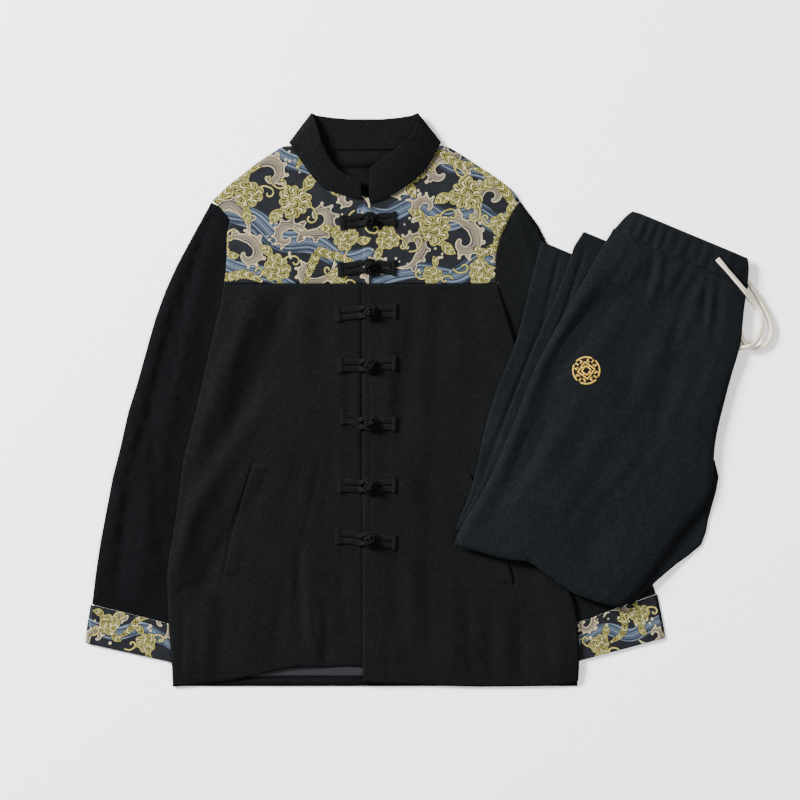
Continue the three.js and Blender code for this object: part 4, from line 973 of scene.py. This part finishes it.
def make_neck_facing():
    """A row of points is extruded down the back, from the neck seam to the facing's lower edge."""
    bm = bmesh.new()
    left, right = FACING_SIDES
    up, height = FACING_ROWS[0]
    row = [bm.verts.new(JACKET @ Vector((left + (right - left) * number / FACING_STRIPS, up, height)))
           for number in range(FACING_STRIPS + 1)]
    edges = [bm.edges.new(pair) for pair in zip(row, row[1:])]
    for (last_up, last_height), (up, height) in zip(FACING_ROWS, FACING_ROWS[1:]):
        made = bmesh.ops.extrude_edge_only(bm, edges=edges)["geom"]
        verts = [item for item in made if isinstance(item, bmesh.types.BMVert)]
        edges = [item for item in made if isinstance(item, bmesh.types.BMEdge)]
        bmesh.ops.translate(bm, verts=verts, vec=(0, (up - last_up) * MM, (height - last_height) * MM))
    bmesh.ops.recalc_face_normals(bm, faces=bm.faces)
    if sum(face.normal.z for face in bm.faces) < 0:
        bmesh.ops.reverse_faces(bm, faces=bm.faces)
    return walled(as_object(bm, "cloth_neck_facing"), FACING_WALL)


facing = make_neck_facing()
belongs(facing, JACKET_LINEN)
print("neck facing is", FACING_SIDES[1] - FACING_SIDES[0], "mm wide")

# %% [markdown]
# The print is drawn with these shapes: tapering streams, curled scroll clouds with beads of foam,
# feathered fronds, and round blossoms with leaves and tendrils. They are placed one by one, close
# together, as on an all-over print. All places are millimetres in the jacket's frame.

# %% Layout of the print
STREAMS = [
    ([(-222, 672), (-186, 642), (-150, 630), (-112, 602), (-70, 598), (-30, 576), (6, 584)], 15),
    ([(-140, 744), (-108, 712), (-70, 700), (-40, 672), (-12, 676)], 11),
    ([(-214, 592), (-180, 566), (-140, 558), (-90, 536)], 10),
    ([(222, 652), (182, 624), (150, 640), (108, 628), (70, 652), (30, 634), (-2, 642)], 14),
    ([(204, 556), (160, 576), (120, 552), (70, 562), (16, 545)], 12),
    ([(84, 744), (112, 706), (156, 696), (204, 664)], 11),
    ([(-384, 92), (-340, 70), (-300, 78), (-252, 50)], 9),
    ([(284, 58), (325, 76), (365, 70), (412, 98)], 9),
]
CLOUDS = [
    (-186, 632, 22, 20, 1), (-128, 690, 25, 150, -1), (-62, 632, 23, 250, 1), (-158, 584, 22, 100, -1),
    (-20, 656, 17, 40, 1), (-72, 560, 20, 320, -1), (-44, 712, 17, 200, 1), (-104, 606, 18, 60, 1),
    (38, 672, 21, 130, -1), (104, 694, 25, 30, 1), (172, 660, 23, 210, -1), (62, 594, 20, 300, 1),
    (134, 600, 24, 80, -1), (190, 578, 20, 10, 1), (22, 562, 16, 180, -1), (84, 646, 18, 240, -1),
    (-322, 96, 13, 60, 1), (-362, 66, 12, 200, -1), (-272, 84, 13, 320, 1),
    (346, 94, 13, 120, -1), (392, 70, 13, 260, 1), (298, 84, 12, 20, -1),
]
BLOSSOMS = [
    (-156, 664, 21, 9), (-94, 654, 24, 11), (-46, 690, 16, 8), (-196, 592, 16, 8), (-118, 564, 20, 9),
    (-26, 606, 19, 9), (-34, 554, 13, 7),
    (64, 696, 20, 9), (138, 664, 24, 11), (186, 622, 18, 8), (96, 616, 23, 10), (32, 604, 17, 8),
    (158, 558, 19, 9), (92, 554, 14, 7),
    (-344, 84, 15, 8), (-294, 58, 15, 8), (318, 56, 15, 8), (372, 96, 15, 8),
]
FRONDS = [
    ([(-206, 650), (-188, 664), (-166, 690), (-140, 702)], 8),
    ([(-90, 700), (-80, 716), (-60, 724), (-46, 740)], 7),
    ([(-206, 556), (-184, 552), (-160, 556), (-138, 546)], 7),
    ([(-80, 542), (-62, 584), (-46, 582), (-16, 574)], 7),
    ([(204, 640), (196, 660), (170, 690), (150, 698)], 8),
    ([(206, 600), (184, 596), (166, 586), (150, 590)], 7),
    ([(92, 724), (110, 716), (128, 704), (148, 706)], 7),
    ([(-330, 66), (-316, 76), (-304, 90), (-286, 94)], 5),
    ([(334, 60), (348, 70), (352, 84), (346, 100)], 5),
]
print(len(STREAMS), "streams,", len(CLOUDS), "clouds,", len(BLOSSOMS), "blossoms and",
      len(FRONDS), "fronds")

# %% [markdown]
# Streams and clouds are both drawn round a line: the distance to the line, less a width that changes
# along it, gives the shape, and the side of the line gives the fine lines that flow inside it.

# %% Streams and clouds
FAR = 99.0
LINE_STEP = 2.0
CLOUD_LOBES = 7
CURL_FROM, CURL_TO = -1.1, 1.5 * math.pi


def to_line(spots, line):
    """The distance of each spot from a line, on which side it is, and its share of the way along."""
    best = np.full(len(spots), FAR)
    side = np.zeros(len(spots))
    share = np.zeros(len(spots))
    for index, (start, end) in enumerate(zip(line, line[1:])):
        step = end - start
        offset = spots - start
        along = np.clip(offset @ step / (step @ step), 0, 1)
        gap = offset - along[:, None] * step
        distance = np.hypot(gap[:, 0], gap[:, 1])
        nearer = distance < best
        turned = step[0] * offset[:, 1] - step[1] * offset[:, 0]
        best = np.where(nearer, distance, best)
        side = np.where(nearer, np.sign(turned) * distance, side)
        share = np.where(nearer, (index + along) / (len(line) - 1), share)
    return best, side, share


def round_line(points):
    """A smooth line through points, as an array of places."""
    places = smooth_route([(x, y, 0) for x, y in points], Matrix.Identity(4), LINE_STEP)
    return np.array([place.xy for place in places])


def stream_shape(spots, points, half):
    """A stream that swells in its middle; its flow lines wander a little."""
    best, side, share = to_line(spots, round_line(points))
    width = half * (0.45 + 0.55 * np.sin(np.clip(share, 0.02, 0.98) * math.pi) ** 0.6)
    return best - width, side + 1.8 * np.sin(share * 15)


def curl(centre, radius, turn, way):
    """A spiral that winds in from its tail."""
    angles = np.linspace(CURL_FROM, CURL_TO, 40)
    reach = radius * np.interp(angles, (CURL_FROM, 0, CURL_TO), (1.75, 0.95, 0.22))
    angles = math.radians(turn) + way * angles
    return np.array(centre) + np.stack([np.cos(angles), np.sin(angles)], axis=1) * reach[:, None]


def cloud_shape(spots, x, y, radius, turn, way):
    """A curl with a tapered tail and two rows of round lobes of foam on its back."""
    line = curl((x, y), radius, turn, way)
    best, side, share = to_line(spots, line)
    shape = best - radius * np.interp(share, (0, 0.3, 0.8, 1), (0.04, 0.36, 0.2, 0.12))
    for number in range(CLOUD_LOBES):
        place = line[5 + 4 * number]
        outward = (place - (x, y)) / np.hypot(*(place - (x, y)))
        for reach, size in ((0.22, 0.24 - 0.015 * number), (0.46, 0.15 - 0.01 * number)):
            lobe = place + outward * radius * (reach + 0.06 * math.sin(5 * number + x))
            shape = np.minimum(shape, np.hypot(*(spots - lobe).T) - radius * size)
    return shape, side + 1.2 * np.sin(share * 22)


# %% [markdown]
# A blossom's edge is a circle with a scallop for each petal. The lines inside it run outwards near
# the rim and wind round its heart, as an engraver would cut them. Leaves, tendrils and fronds are
# drawn round a line again.

# %% Blossoms, leaves and fronds
TENDRIL_HALF = 0.95


def blossom_shape(spots, x, y, radius, petals):
    """A round blossom of many narrow petals; the second value draws the lines between them."""
    offset = spots - (x, y)
    reach = np.hypot(offset[:, 0], offset[:, 1])
    angle = np.arctan2(offset[:, 1], offset[:, 0]) + x
    scallop = 0.2 * np.abs(np.cos(petals * angle / 2)) ** 0.6
    edge = radius * (0.74 + scallop + 0.08 * np.sin(3 * angle + y))
    spokes = petals * angle / math.pi + 0.9 * np.sin(reach / 3)
    spokes = np.where(reach > radius * 0.72, 2 * spokes, spokes)
    whorl = 5 * angle / (2 * math.pi) + reach / 3.4
    return reach - edge, np.where(reach > radius * 0.4, spokes, whorl)


def leaf_shape(spots, x, y, radius, turn):
    """A pointed leaf that springs from a blossom; its second value gives slanting veins."""
    angle = math.radians(turn) + x
    out = np.array([math.cos(angle), math.sin(angle)])
    across = np.array([-out[1], out[0]])
    root = np.array([x, y]) + out * radius * 0.8
    line = round_line([root, root + out * radius * 0.6 + across * 2, root + out * radius + across * 7])
    best, side, share = to_line(spots, line)
    width = radius * 0.30 * np.sin(np.clip(share, 0.03, 0.97) * math.pi) ** 0.8
    return best - width, (share * radius - np.abs(side)) / 2.4


def tendril_shape(spots, x, y, radius, turn, way):
    """A thin curling line that springs from a blossom."""
    angle = math.radians(turn) + x
    centre = (x + 1.3 * radius * math.cos(angle), y + 1.3 * radius * math.sin(angle))
    best = to_line(spots, curl(centre, radius * 0.42, math.degrees(angle) + 90, way))[0]
    return best - TENDRIL_HALF


def frond_shape(spots, points, half):
    """A feathered spray; its blades lean forward along the stem."""
    line = round_line(points)
    best, side, share = to_line(spots, line)
    length = len(line) * LINE_STEP
    blades = share * length / 4.0 - np.abs(side) / 3.0
    taper = np.sin(np.clip(share, 0.04, 0.96) * math.pi) ** 0.5
    width = half * taper * (0.35 + 0.65 * np.abs(np.sin(math.pi * blades)))
    return best - width, blades


# %% [markdown]
# The shapes of one kind are joined by keeping the smallest distance. The water comes first and the
# flowers lie over it. The beads of foam are scattered round the clouds with a fixed seed.

# %% Draw the print
LEAF_TURNS = (35, 200)
TENDRIL_TURNS = ((110, 1), (300, -1))
BEADS_EACH = 8
MOTIFS = ("stream", "cloud", "gold", "bead")
MOTIF_LINES = ("flow", "petal", "curl")


def near(spots, x, y, reach):
    """Whether a shape's surroundings touch the piece at all."""
    return np.min(np.hypot(spots[:, 0] - x, spots[:, 1] - y)) < reach


def join(values, name, line_name, shape, lines=0.0):
    """Adds a shape to a kind of motif; the nearer shape gives the lines drawn inside it."""
    if line_name:
        values[line_name] = np.where(shape < values[name], lines, values[line_name])
    values[name] = np.minimum(values[name], shape)


def draw_water(values, spots, rng):
    """Streams, scroll clouds and the beads of foam round the clouds."""
    for points, half in STREAMS:
        join(values, "stream", "flow", *stream_shape(spots, points, half))
    for x, y, radius, turn, way in CLOUDS:
        if not near(spots, x, y, 2 * radius):
            continue
        join(values, "cloud", "curl", *cloud_shape(spots, x, y, radius, turn, way))
        for _ in range(BEADS_EACH):
            angle = rng.uniform(0, 2 * math.pi)
            reach = radius * rng.uniform(1.2, 1.9)
            bead = (x + reach * math.cos(angle), y + reach * math.sin(angle))
            join(values, "bead", None, np.hypot(*(spots - bead).T) - rng.uniform(1.1, 2.3))


def draw_flowers(values, spots):
    """Fronds, then the blossoms with their leaves and tendrils."""
    for points, half in FRONDS:
        join(values, "gold", "petal", *frond_shape(spots, points, half))
    for x, y, radius, petals in BLOSSOMS:
        if not near(spots, x, y, 2 * radius):
            continue
        for turn, way in TENDRIL_TURNS:
            join(values, "gold", "petal", tendril_shape(spots, x, y, radius, turn, way))
        for turn in LEAF_TURNS:
            join(values, "gold", "petal", *leaf_shape(spots, x, y, radius, turn))
        join(values, "gold", "petal", *blossom_shape(spots, x, y, radius, petals))


def draw_print(piece, seed):
    """Works out all the shapes' distances at the vertices of a printed piece."""
    spots = np.array([(TO_JACKET @ vert.co).xy for vert in piece.data.vertices])
    values = {name: np.full(len(spots), FAR) for name in MOTIFS}
    values.update({name: np.zeros(len(spots)) for name in MOTIF_LINES})
    draw_water(values, spots, random.Random(seed))
    draw_flowers(values, spots)
    for name, numbers in values.items():
        attribute = piece.data.attributes.new(name, "FLOAT", "POINT")
        attribute.data.foreach_set("value", numbers.astype(np.float32))
    shares = {name: round(float(np.mean(values[name] < 0)), 2) for name in MOTIFS}
    print(piece.name, "share of each shape:", shares)


for number, printed in enumerate(yokes + cuffs):
    draw_print(printed, 20 + number)

# %% [markdown]
# A frog closure is a pair of flat cords, folded from bias strips of the jacket's own cloth. One half
# ends in a loop and the other in a ball knot, and both are sewn down to the fronts and bound at their
# outer ends. The cords follow the cloth below them, which is found by looking straight down.

# %% Frog cords
FROG_X = 8
FROG_UPS = [629, 566, 505, 433, 355, 270, 198]
LOOP_REACH = [36, 39, 43, 40, 36, 40, 43]
LOOP_RISE = [-4, -4, -3, 0, 9, 1, 4]
KNOT_REACH = [33, 33, 34, 33, 33, 33, 33]
KNOT_RISE = [1, -2, 1, 3, -1, 1, -4]
STRIP_WIDTH = 8.6
STRIP_HEIGHT = 2.0
STRIP_APART = 4.7
STRIP_LIES = 0.15
STRIP_SPACING = 0.0012
BEND_AT = 0.45
LOOP_CORD = 4.0
LOOP_RADIUS = 9.2
LOOP_OPENS = math.radians(138)
LOOP_LIFT = 2.6
LOOP_PARTS_AT = 14
LOOP_ROLLS = (7.5, 5)
KNOT_MEETS_AT = 13
KNOT_ROLLS = (6, 6)
FRONTS = evaluated_tree([front_right, front_left, *yokes])


def settled(points, gap):
    """Points of (x, y, lift) as places above the cloth of the fronts, in world metres."""
    return [JACKET @ Vector((x, y, cloth_height(x, y, FRONTS, JACKET) + gap + up)) for x, y, up in points]


def there_and_back(route, turning, up, rise, back_shares):
    """A route out, its turning at the ball and the same route back below the frog's middle line."""
    back = [(x, 2 * up - y, lift) for x, y, lift in reversed(route)]
    back = [(x, y + 2 * rise * share, lift) for (x, y, lift), share in zip(back, back_shares)]
    return route + turning + back


def lay_strip(bm, points, side, rolled_to, rolled_over):
    """Sweeps a bias strip that lies flat at its bar and rolls to a round cord near the ball."""
    places = smooth_route(settled(points, STRIP_HEIGHT / 2 + STRIP_LIES), Matrix.Identity(4), STRIP_SPACING)
    sizes = []
    for place in places:
        outward = side * ((TO_JACKET @ place).x - FROG_X)
        share = min(max((outward - rolled_to) / rolled_over, 0), 1)
        sizes.append(((LOOP_CORD + (STRIP_WIDTH - LOOP_CORD) * share) * MM,
                      (LOOP_CORD + (STRIP_HEIGHT - LOOP_CORD) * share) * MM))
    sweep(bm, places, sizes, sides=12)


def loop_half(bm, up, reach, rise):
    """The strip runs from the bar to the ball, round it and back."""
    start = FROG_X - reach
    route = [(start, up + rise + STRIP_APART, 0),
             (start + reach * BEND_AT, up + rise * 0.5 + STRIP_APART, 0.2),
             (FROG_X - LOOP_PARTS_AT, up + STRIP_APART, 0.5)]
    ring = [(FROG_X + LOOP_RADIUS * math.cos(angle), up + LOOP_RADIUS * math.sin(angle), LOOP_LIFT)
            for angle in np.linspace(LOOP_OPENS, -LOOP_OPENS, 15)]
    lay_strip(bm, there_and_back(route, ring, up, rise, (0, 0.5, 1)), -1, *LOOP_ROLLS)


def knot_half(bm, up, reach, rise):
    """The strip runs from the bar to the neck of the ball and back."""
    end = FROG_X + reach
    route = [(end, up + rise + STRIP_APART, 0),
             (end - reach * BEND_AT, up + rise * 0.5 + STRIP_APART, 0.2),
             (FROG_X + KNOT_MEETS_AT, up + STRIP_APART, 0.4), (FROG_X + 7.5, up + 3.0, 1.2)]
    neck = [(FROG_X + 3, up, 3.0)]
    lay_strip(bm, there_and_back(route, neck, up, rise, (0, 0, 0.5, 1)), 1, *KNOT_ROLLS)


# %% [markdown]
# The ball is a Turk's head: one cord that goes three times round while it weaves four times up and
# down, over a small core. The bars that bind the strips' ends are wrapped, so each has seven ridges.

# %% Ball knots and end bars
BALL_RADIUS = 6.0
BALL_UP = 11.6
BALL_CORD = 4.2
BALL_FLATNESS = 0.75
BALL_TILT = math.radians(28)
BALL_WEAVE = 0.95
BALL_LATITUDE = math.radians(52)
LOOP_BAR_WIDTH = 9.0
KNOT_BAR_WIDTH = 6.0
BAR_LENGTH = 20.5
BAR_HEIGHT = 2.6
BAR_TURNS = 7
BAR_RIDGE = 0.07


def ball_knot(bm, up, turn):
    """The cord is woven over and under itself round a small core, as a Turk's head."""
    middle = JACKET @ Vector((FROG_X, up, BALL_UP))
    tilt = Matrix.Rotation(turn, 3, "Z") @ Matrix.Rotation(BALL_TILT, 3, "X")
    places, ups = [], []
    for angle in np.linspace(0, 2 * math.pi, 130, endpoint=False):
        latitude = BALL_LATITUDE * math.cos(4 * angle)
        radius = (BALL_RADIUS + BALL_WEAVE * math.sin(8 * angle)) * MM
        out = tilt @ Vector((math.cos(latitude) * math.cos(3 * angle),
                             math.cos(latitude) * math.sin(3 * angle), math.sin(latitude)))
        out.z *= BALL_FLATNESS
        places.append(middle + out * radius)
        ups.append(out.normalized())
    sizes = [(BALL_CORD * MM, BALL_CORD * 0.8 * MM)] * len(places)
    sweep(bm, places, sizes, ups=ups, closed=True, sides=10)
    core = bmesh.ops.create_icosphere(bm, subdivisions=2, radius=BALL_RADIUS * 0.8 * MM)["verts"]
    bmesh.ops.translate(bm, verts=core, vec=middle)


def end_bar(bm, x, up, slant, width):
    """A narrow strip wrapped across the ends of the two cords, with a ridge for each turn."""
    steps = np.linspace(-0.5, 0.5, 30)
    points = [(x + slant * step, up + BAR_LENGTH * step, 0.5) for step in steps]
    places = settled(points, STRIP_HEIGHT / 2)
    sizes = []
    for step in steps:
        ridge = 1 + BAR_RIDGE * math.cos(step * 2 * math.pi * BAR_TURNS)
        end = 0.8 if abs(step) > 0.49 else 1.0
        sizes.append((width * ridge * end * MM, BAR_HEIGHT * ridge * end * MM))
    sweep(bm, places, sizes, sides=12)


# %% [markdown]
# The seven frogs differ a little, because each was tied and sewn on by hand: their strips reach out
# by other lengths and lie at other slants, and no two balls are turned the same way.

# %% Seven frogs
def make_frog(number):
    """Both halves of one closure, each a piece of its own."""
    up = FROG_UPS[number]
    bm = bmesh.new()
    loop_half(bm, up, LOOP_REACH[number], LOOP_RISE[number])
    end_bar(bm, FROG_X - LOOP_REACH[number], up + LOOP_RISE[number], -1.0, LOOP_BAR_WIDTH)
    loop = as_object(bm, f"frog_cord_loop_{number + 1}")
    bm = bmesh.new()
    knot_half(bm, up, KNOT_REACH[number], KNOT_RISE[number])
    ball_knot(bm, up, 0.9 * number)
    end_bar(bm, FROG_X + KNOT_REACH[number], up + KNOT_RISE[number], 0.6, KNOT_BAR_WIDTH)
    knot = as_object(bm, f"frog_cord_knot_{number + 1}")
    for piece, node_name in ((loop, "frog_loop"), (knot, "frog_knot")):
        belongs(piece, FROG_LINEN)
        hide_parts(f"{node_name}_{number + 1}")
    return loop, knot


frogs = [make_frog(number) for number in range(len(FROG_UPS))]
print(len(frogs), "frogs, the first loop has", len(frogs[0][0].data.polygons), "faces")

# %% [markdown]
# The trousers are folded in half and once more across. The front of the right leg lies on top, with
# its waist gathered by an elastic. The edges of the layers below it show on the left and at the lower
# right, and the hidden ones share one rounded solid.

# %% Trousers
TROUSERS_WALL = 1.4
LEG_FOLDS = [
    (-66, -42, -72, -90, 6, -1.4), (-38, -30, -29, -60, 5, -1.9), (-30, -46, -24, -92, 6, -1.9),
    (-17, -34, -9, -62, 5, -1.6), (-46, -36, -52, -80, 6, 1.4), (-22, -40, -16, -96, 7, 1.5),
    (2, -38, 0, -80, 6, 1.2), (14, -38, 10, -70, 5, -1.4), (32, -36, 34, -58, 5, -1.6),
    (31, -40, 24, -80, 6, -1.6), (43, -36, 63, -98, 6, -2.3), (52, -40, 76, -120, 6, 1.6),
    (59, -38, 79, -85, 6, -1.8), (40, -50, 44, -130, 7, 1.6), (29, -91, 34, -140, 8, -1.5),
    (-42, -86, -100, -221, 17, -3.4), (-70, -56, -124, -196, 13, 2.2), (-75, -280, -96, -400, 15, -2.8),
    (-124, -230, -140, -330, 11, 0.8), (-12, -110, -14, -190, 16, -2.2), (-10, -60, -26, -90, 10, 0.9),
    (18, -150, 10, -280, 13, 0.9), (50, -130, 58, -250, 14, -1.8), (30, -260, 24, -340, 12, -0.8),
    (-28, -290, -46, -380, 13, -1.2), (-50, -250, -70, -370, 11, 0.9), (-6, -280, -14, -400, 11, 0.8),
    (12, -330, -2, -410, 10, -0.8), (64, -290, 26, -390, 11, -0.9), (82, -250, 44, -380, 9, 0.8),
    (84, -150, 82, -250, 8, -0.6), (70, -190, 74, -280, 9, 0.6),
    (-82, -125, -98, -250, 16, -1.6), (-98, -250, -92, -390, 16, -1.6),
]
leg_front = creased_panel("cloth_right_front", "trousers_right_front", TO_TROUSERS, LEG_FOLDS, 4, 0.5, 13,
                          TROUSERS_WALL, edge_drop=0, soften_times=4, tuck=(-36, 1, (0, 5, -2.2)))
dress(leg_front, "trousers_right_front", TROUSERS_LINEN, (440, 300))
WAIST_GATHERS = [
    (-88, 8, -88, -32, 4.0, -0.9), (-80, 8, -80, -32, 3.2, 0.7), (-71, 8, -71, -32, 3.0, -1.5),
    (-64, 8, -64, -32, 2.6, 0.8), (-57, 8, -56, -32, 3.2, -1.6), (-50, 8, -50, -32, 2.5, 0.9),
    (-44, 8, -42, -32, 2.6, -1.4), (-36, 8, -36, -32, 3.0, 0.8), (-29, 8, -28, -32, 3.0, -1.6),
    (-21, 8, -21, -32, 2.6, 0.8), (-13, 8, -11, -32, 2.8, -1.3), (-4, 8, -4, -32, 3.0, 0.9),
    (5, 8, 5, -32, 3.0, -1.5), (13, 8, 13, -32, 2.8, 0.8), (22, 8, 22, -32, 2.8, -1.6),
    (30, 8, 30, -32, 2.8, 0.8), (38, 8, 39, -32, 3.0, -1.5), (54, 8, 55, -32, 2.8, -1.2),
    (62, 8, 63, -32, 2.8, 0.8), (69, 8, 70, -32, 2.8, -1.3), (80, 8, 80, -32, 3.2, 0.7),
    (88, 8, 88, -32, 3.4, -1.0),
]
waistband = creased_panel("cloth_waistband", "trousers_waistband", TO_TROUSERS, WAIST_GATHERS, 3, 0.4, 14,
                          TROUSERS_WALL, edge_drop=0, soften_times=2, fade_mm=3)
dress(waistband, "trousers_waistband", TROUSERS_LINEN, (190, 42))

# %% [markdown]
# The lower legs are thick rolled edges. A long groove down each of them is where its two layers of
# cloth part, which makes one solid look like a fold.

# %% Lower layers
RIGHT_EDGE_FOLDS = [(-123, -70, -115, -170, 3, -1.8), (-115, -170, -113, -380, 3, -1.8)]
LEFT_EDGE_FOLDS = [(-152, -90, -138, -180, 3, -1.8), (-138, -180, -135, -390, 3, -1.8)]
for side, cut, spacing, folds in (
        ("right_lower", (440, 24), 3, RIGHT_EDGE_FOLDS), ("left_lower", (430, 35), 3, LEFT_EDGE_FOLDS),
        ("left", (160, 36), 6, ())):
    edge_piece = soft_block(f"cloth_{side}_leg", f"trousers_{side}_leg", spacing, 0.5, TO_TROUSERS, folds)
    dress(edge_piece, f"trousers_{side}_leg", TROUSERS_LINEN, cut)
layers = soft_block("cloth_folded_layers", "trousers_folded_layers", 9, 0.5)
dress(layers, "trousers_folded_layers", TROUSERS_LINEN, (440, 300))

# %% [markdown]
# Lines of machine stitching hold the edges: beside the front opening, above the hem, round the
# pockets, along the yoke seam and under the waist casing. Each stitch is a short bead of thread that
# is sunk a little into the cloth.

# %% Stitches
STITCH_LONG = 2.6
STITCH_EVERY = 3.5
STITCH_WIDE = 0.55
THREAD_SINKS = 0.12
JACKET_SEAMS = [
    [(11, 728), (11, 520), (11, 300), (11, 4)],
    [(14, 16), (110, 15), (200, 16), (284, 14)],
    [(-254, 14), (-180, 15), (-110, 19)],
    [(-202, 538), (-120, 541), (-10, 540)],
    [(13, 540), (100, 540), (182, 538)],
    [(-143, 304), (-154, 277), (-173, 210), (-184, 152)],
    [(-153, 300), (-163, 270), (-180, 206), (-192, 150)],
    [(176, 168), (190, 136), (196, 140)],
]
TROUSERS_SEAMS = [[(-74, -36), (-30, -37), (20, -37), (72, -36)]]


def stitch_rows(name, seams, matrix, tree):
    """Rows of small beads along the seams, as high as the cloth below them."""
    bm = bmesh.new()
    for seam in seams:
        line = smooth_route([(x, y, 0) for x, y in seam], Matrix.Identity(4), STITCH_EVERY)
        for start, end in zip(line, line[1:]):
            middle = (start + end) / 2
            height = cloth_height(middle.x, middle.y, tree, matrix)
            if height == 0:
                continue
            ahead = (end - start).normalized()
            turn = Matrix.Rotation(math.atan2(ahead.y, ahead.x), 4, "Z")
            size = Matrix.Diagonal((STITCH_LONG, STITCH_WIDE, STITCH_WIDE, 1))
            place = Matrix.Translation((middle.x, middle.y, height + THREAD_SINKS))
            bmesh.ops.create_uvsphere(bm, u_segments=6, v_segments=4, radius=0.5,
                                      matrix=matrix @ place @ turn @ size)
    piece = as_object(bm, name)
    belongs(piece, BLACK_THREAD)
    print(name, "has", len(piece.data.polygons), "faces")
    return piece


JACKET_TREE = evaluated_tree([front_right, front_left, *yokes, collar, back])
stitch_rows("thread_jacket", JACKET_SEAMS, JACKET, JACKET_TREE)
LEG_TREE = evaluated_tree([leg_front, waistband])
stitch_rows("thread_waist", TROUSERS_SEAMS, TROUSERS, LEG_TREE)

# %% [markdown]
# The medallion on the right thigh is embroidered in gold satin stitch. It is a plain fret of its own
# design: a broken ring, a square of bars and a knot of bent strokes, the same on all four sides.

# %% Medallion
MEDALLION_AT = (-59, -217)
MEDALLION_TURN = math.radians(12)
STROKE_WIDE = 2.3
STROKE_HIGH = 1.0
RING_AT = 18.0
RING_SPANS = [(8, 82), (98, 172), (188, 262), (278, 352)]
STROKE_SPACING = 0.8
STROKE_RISES = 0.25
QUARTER_STROKES = [
    [(0, 17.6), (0, 12.4)],
    [(-6.6, 15.0), (-6.6, 11.6), (-2.8, 11.6)],
    [(6.6, 15.0), (6.6, 11.6), (2.8, 11.6)],
    [(-8.6, 8.2), (8.6, 8.2)],
    [(-4.6, 4.6), (4.6, 4.6)],
    [(0, 8.2), (0, 4.6)],
]


def medallion_strokes():
    """All the strokes as rows of (x, y) in millimetres from the medallion's middle."""
    strokes = []
    for start, end in RING_SPANS:
        angles = np.radians(np.linspace(start, end, 12))
        strokes.append([(RING_AT * math.cos(a), RING_AT * math.sin(a)) for a in angles])
    for quarter in range(4):
        turn = Matrix.Rotation(quarter * math.pi / 2, 2)
        strokes += [[tuple(turn @ Vector(point)) for point in stroke] for stroke in QUARTER_STROKES]
    return strokes


def stitched_stroke(bm, stroke):
    """A raised stroke of satin stitch that follows the cloth."""
    turn = Matrix.Rotation(-MEDALLION_TURN, 2)
    spots = [turn @ Vector(point) + Vector(MEDALLION_AT) for point in stroke]
    fine = [spots[0]]
    for first, second in zip(spots, spots[1:]):
        steps = max(1, round((second - first).length / STROKE_SPACING))
        fine += [first.lerp(second, step / steps) for step in range(1, steps + 1)]
    places = [TROUSERS @ Vector((x, y, cloth_height(x, y, LEG_TREE, TROUSERS) + STROKE_RISES))
              for x, y in fine]
    sweep(bm, places, [(STROKE_WIDE * MM, STROKE_HIGH * MM)] * len(places), sides=10)


def make_medallion():
    """All the strokes as one piece of gold thread."""
    bm = bmesh.new()
    strokes = medallion_strokes()
    for stroke in strokes:
        stitched_stroke(bm, stroke)
    piece = as_object(bm, "embroidered_medallion")
    belongs(piece, GOLD_THREAD)
    print("the medallion has", len(strokes), "strokes")


make_medallion()

# %% [markdown]
# The set lies on a plain pale table under soft studio light. The key comes low from the upper left,
# so that it rakes across the folds, and a weak fill from above keeps the shadows open. Paper is dull
# and nearly white, since it has no gloss to show the lamps.

# %% Table and light
TABLE_BELOW = 0.0003
WORLD_LIGHT = 0.35


def make_table():
    """A sheet of white paper, a hair below the cloth so that their faces never meet."""
    bm = bmesh.new()
    bmesh.ops.create_grid(bm, x_segments=2, y_segments=2, size=6)
    table = as_object(bm, "table")
    material, shader = new_material("white_paper_roll", roughness=0.9, sheen=0.0, specular=0.2)
    shader.inputs["Base Color"].default_value = linear("#fafafa")
    table.data.materials.append(material)
    table.location.z = -TABLE_BELOW


def add_light(name, place, size, power):
    """A round soft box that is aimed at the middle of the set."""
    data = bpy.data.lights.new(name, "AREA")
    data.shape = "DISK"
    data.size = size
    data.energy = power
    lamp = bpy.data.objects.new(name, data)
    lamp.location = place
    lamp.rotation_euler = (-Vector(place)).to_track_quat("-Z", "Y").to_euler()
    bpy.context.scene.collection.objects.link(lamp)


def make_world():
    """White walls all round give a little even light."""
    world = bpy.data.worlds.new("studio")
    world.use_nodes = True
    background = world.node_tree.nodes["Background"]
    background.inputs["Color"].default_value = (1, 1, 1, 1)
    background.inputs["Strength"].default_value = WORLD_LIGHT
    bpy.context.scene.world = world


make_table()
add_light("key_upper_left", (-4.2, 2.6, 2.6), 2.0, 1750)
add_light("fill_overhead", (1.9, -0.4, 2.9), 2.4, 120)
make_world()
print("two lamps and a table are set")
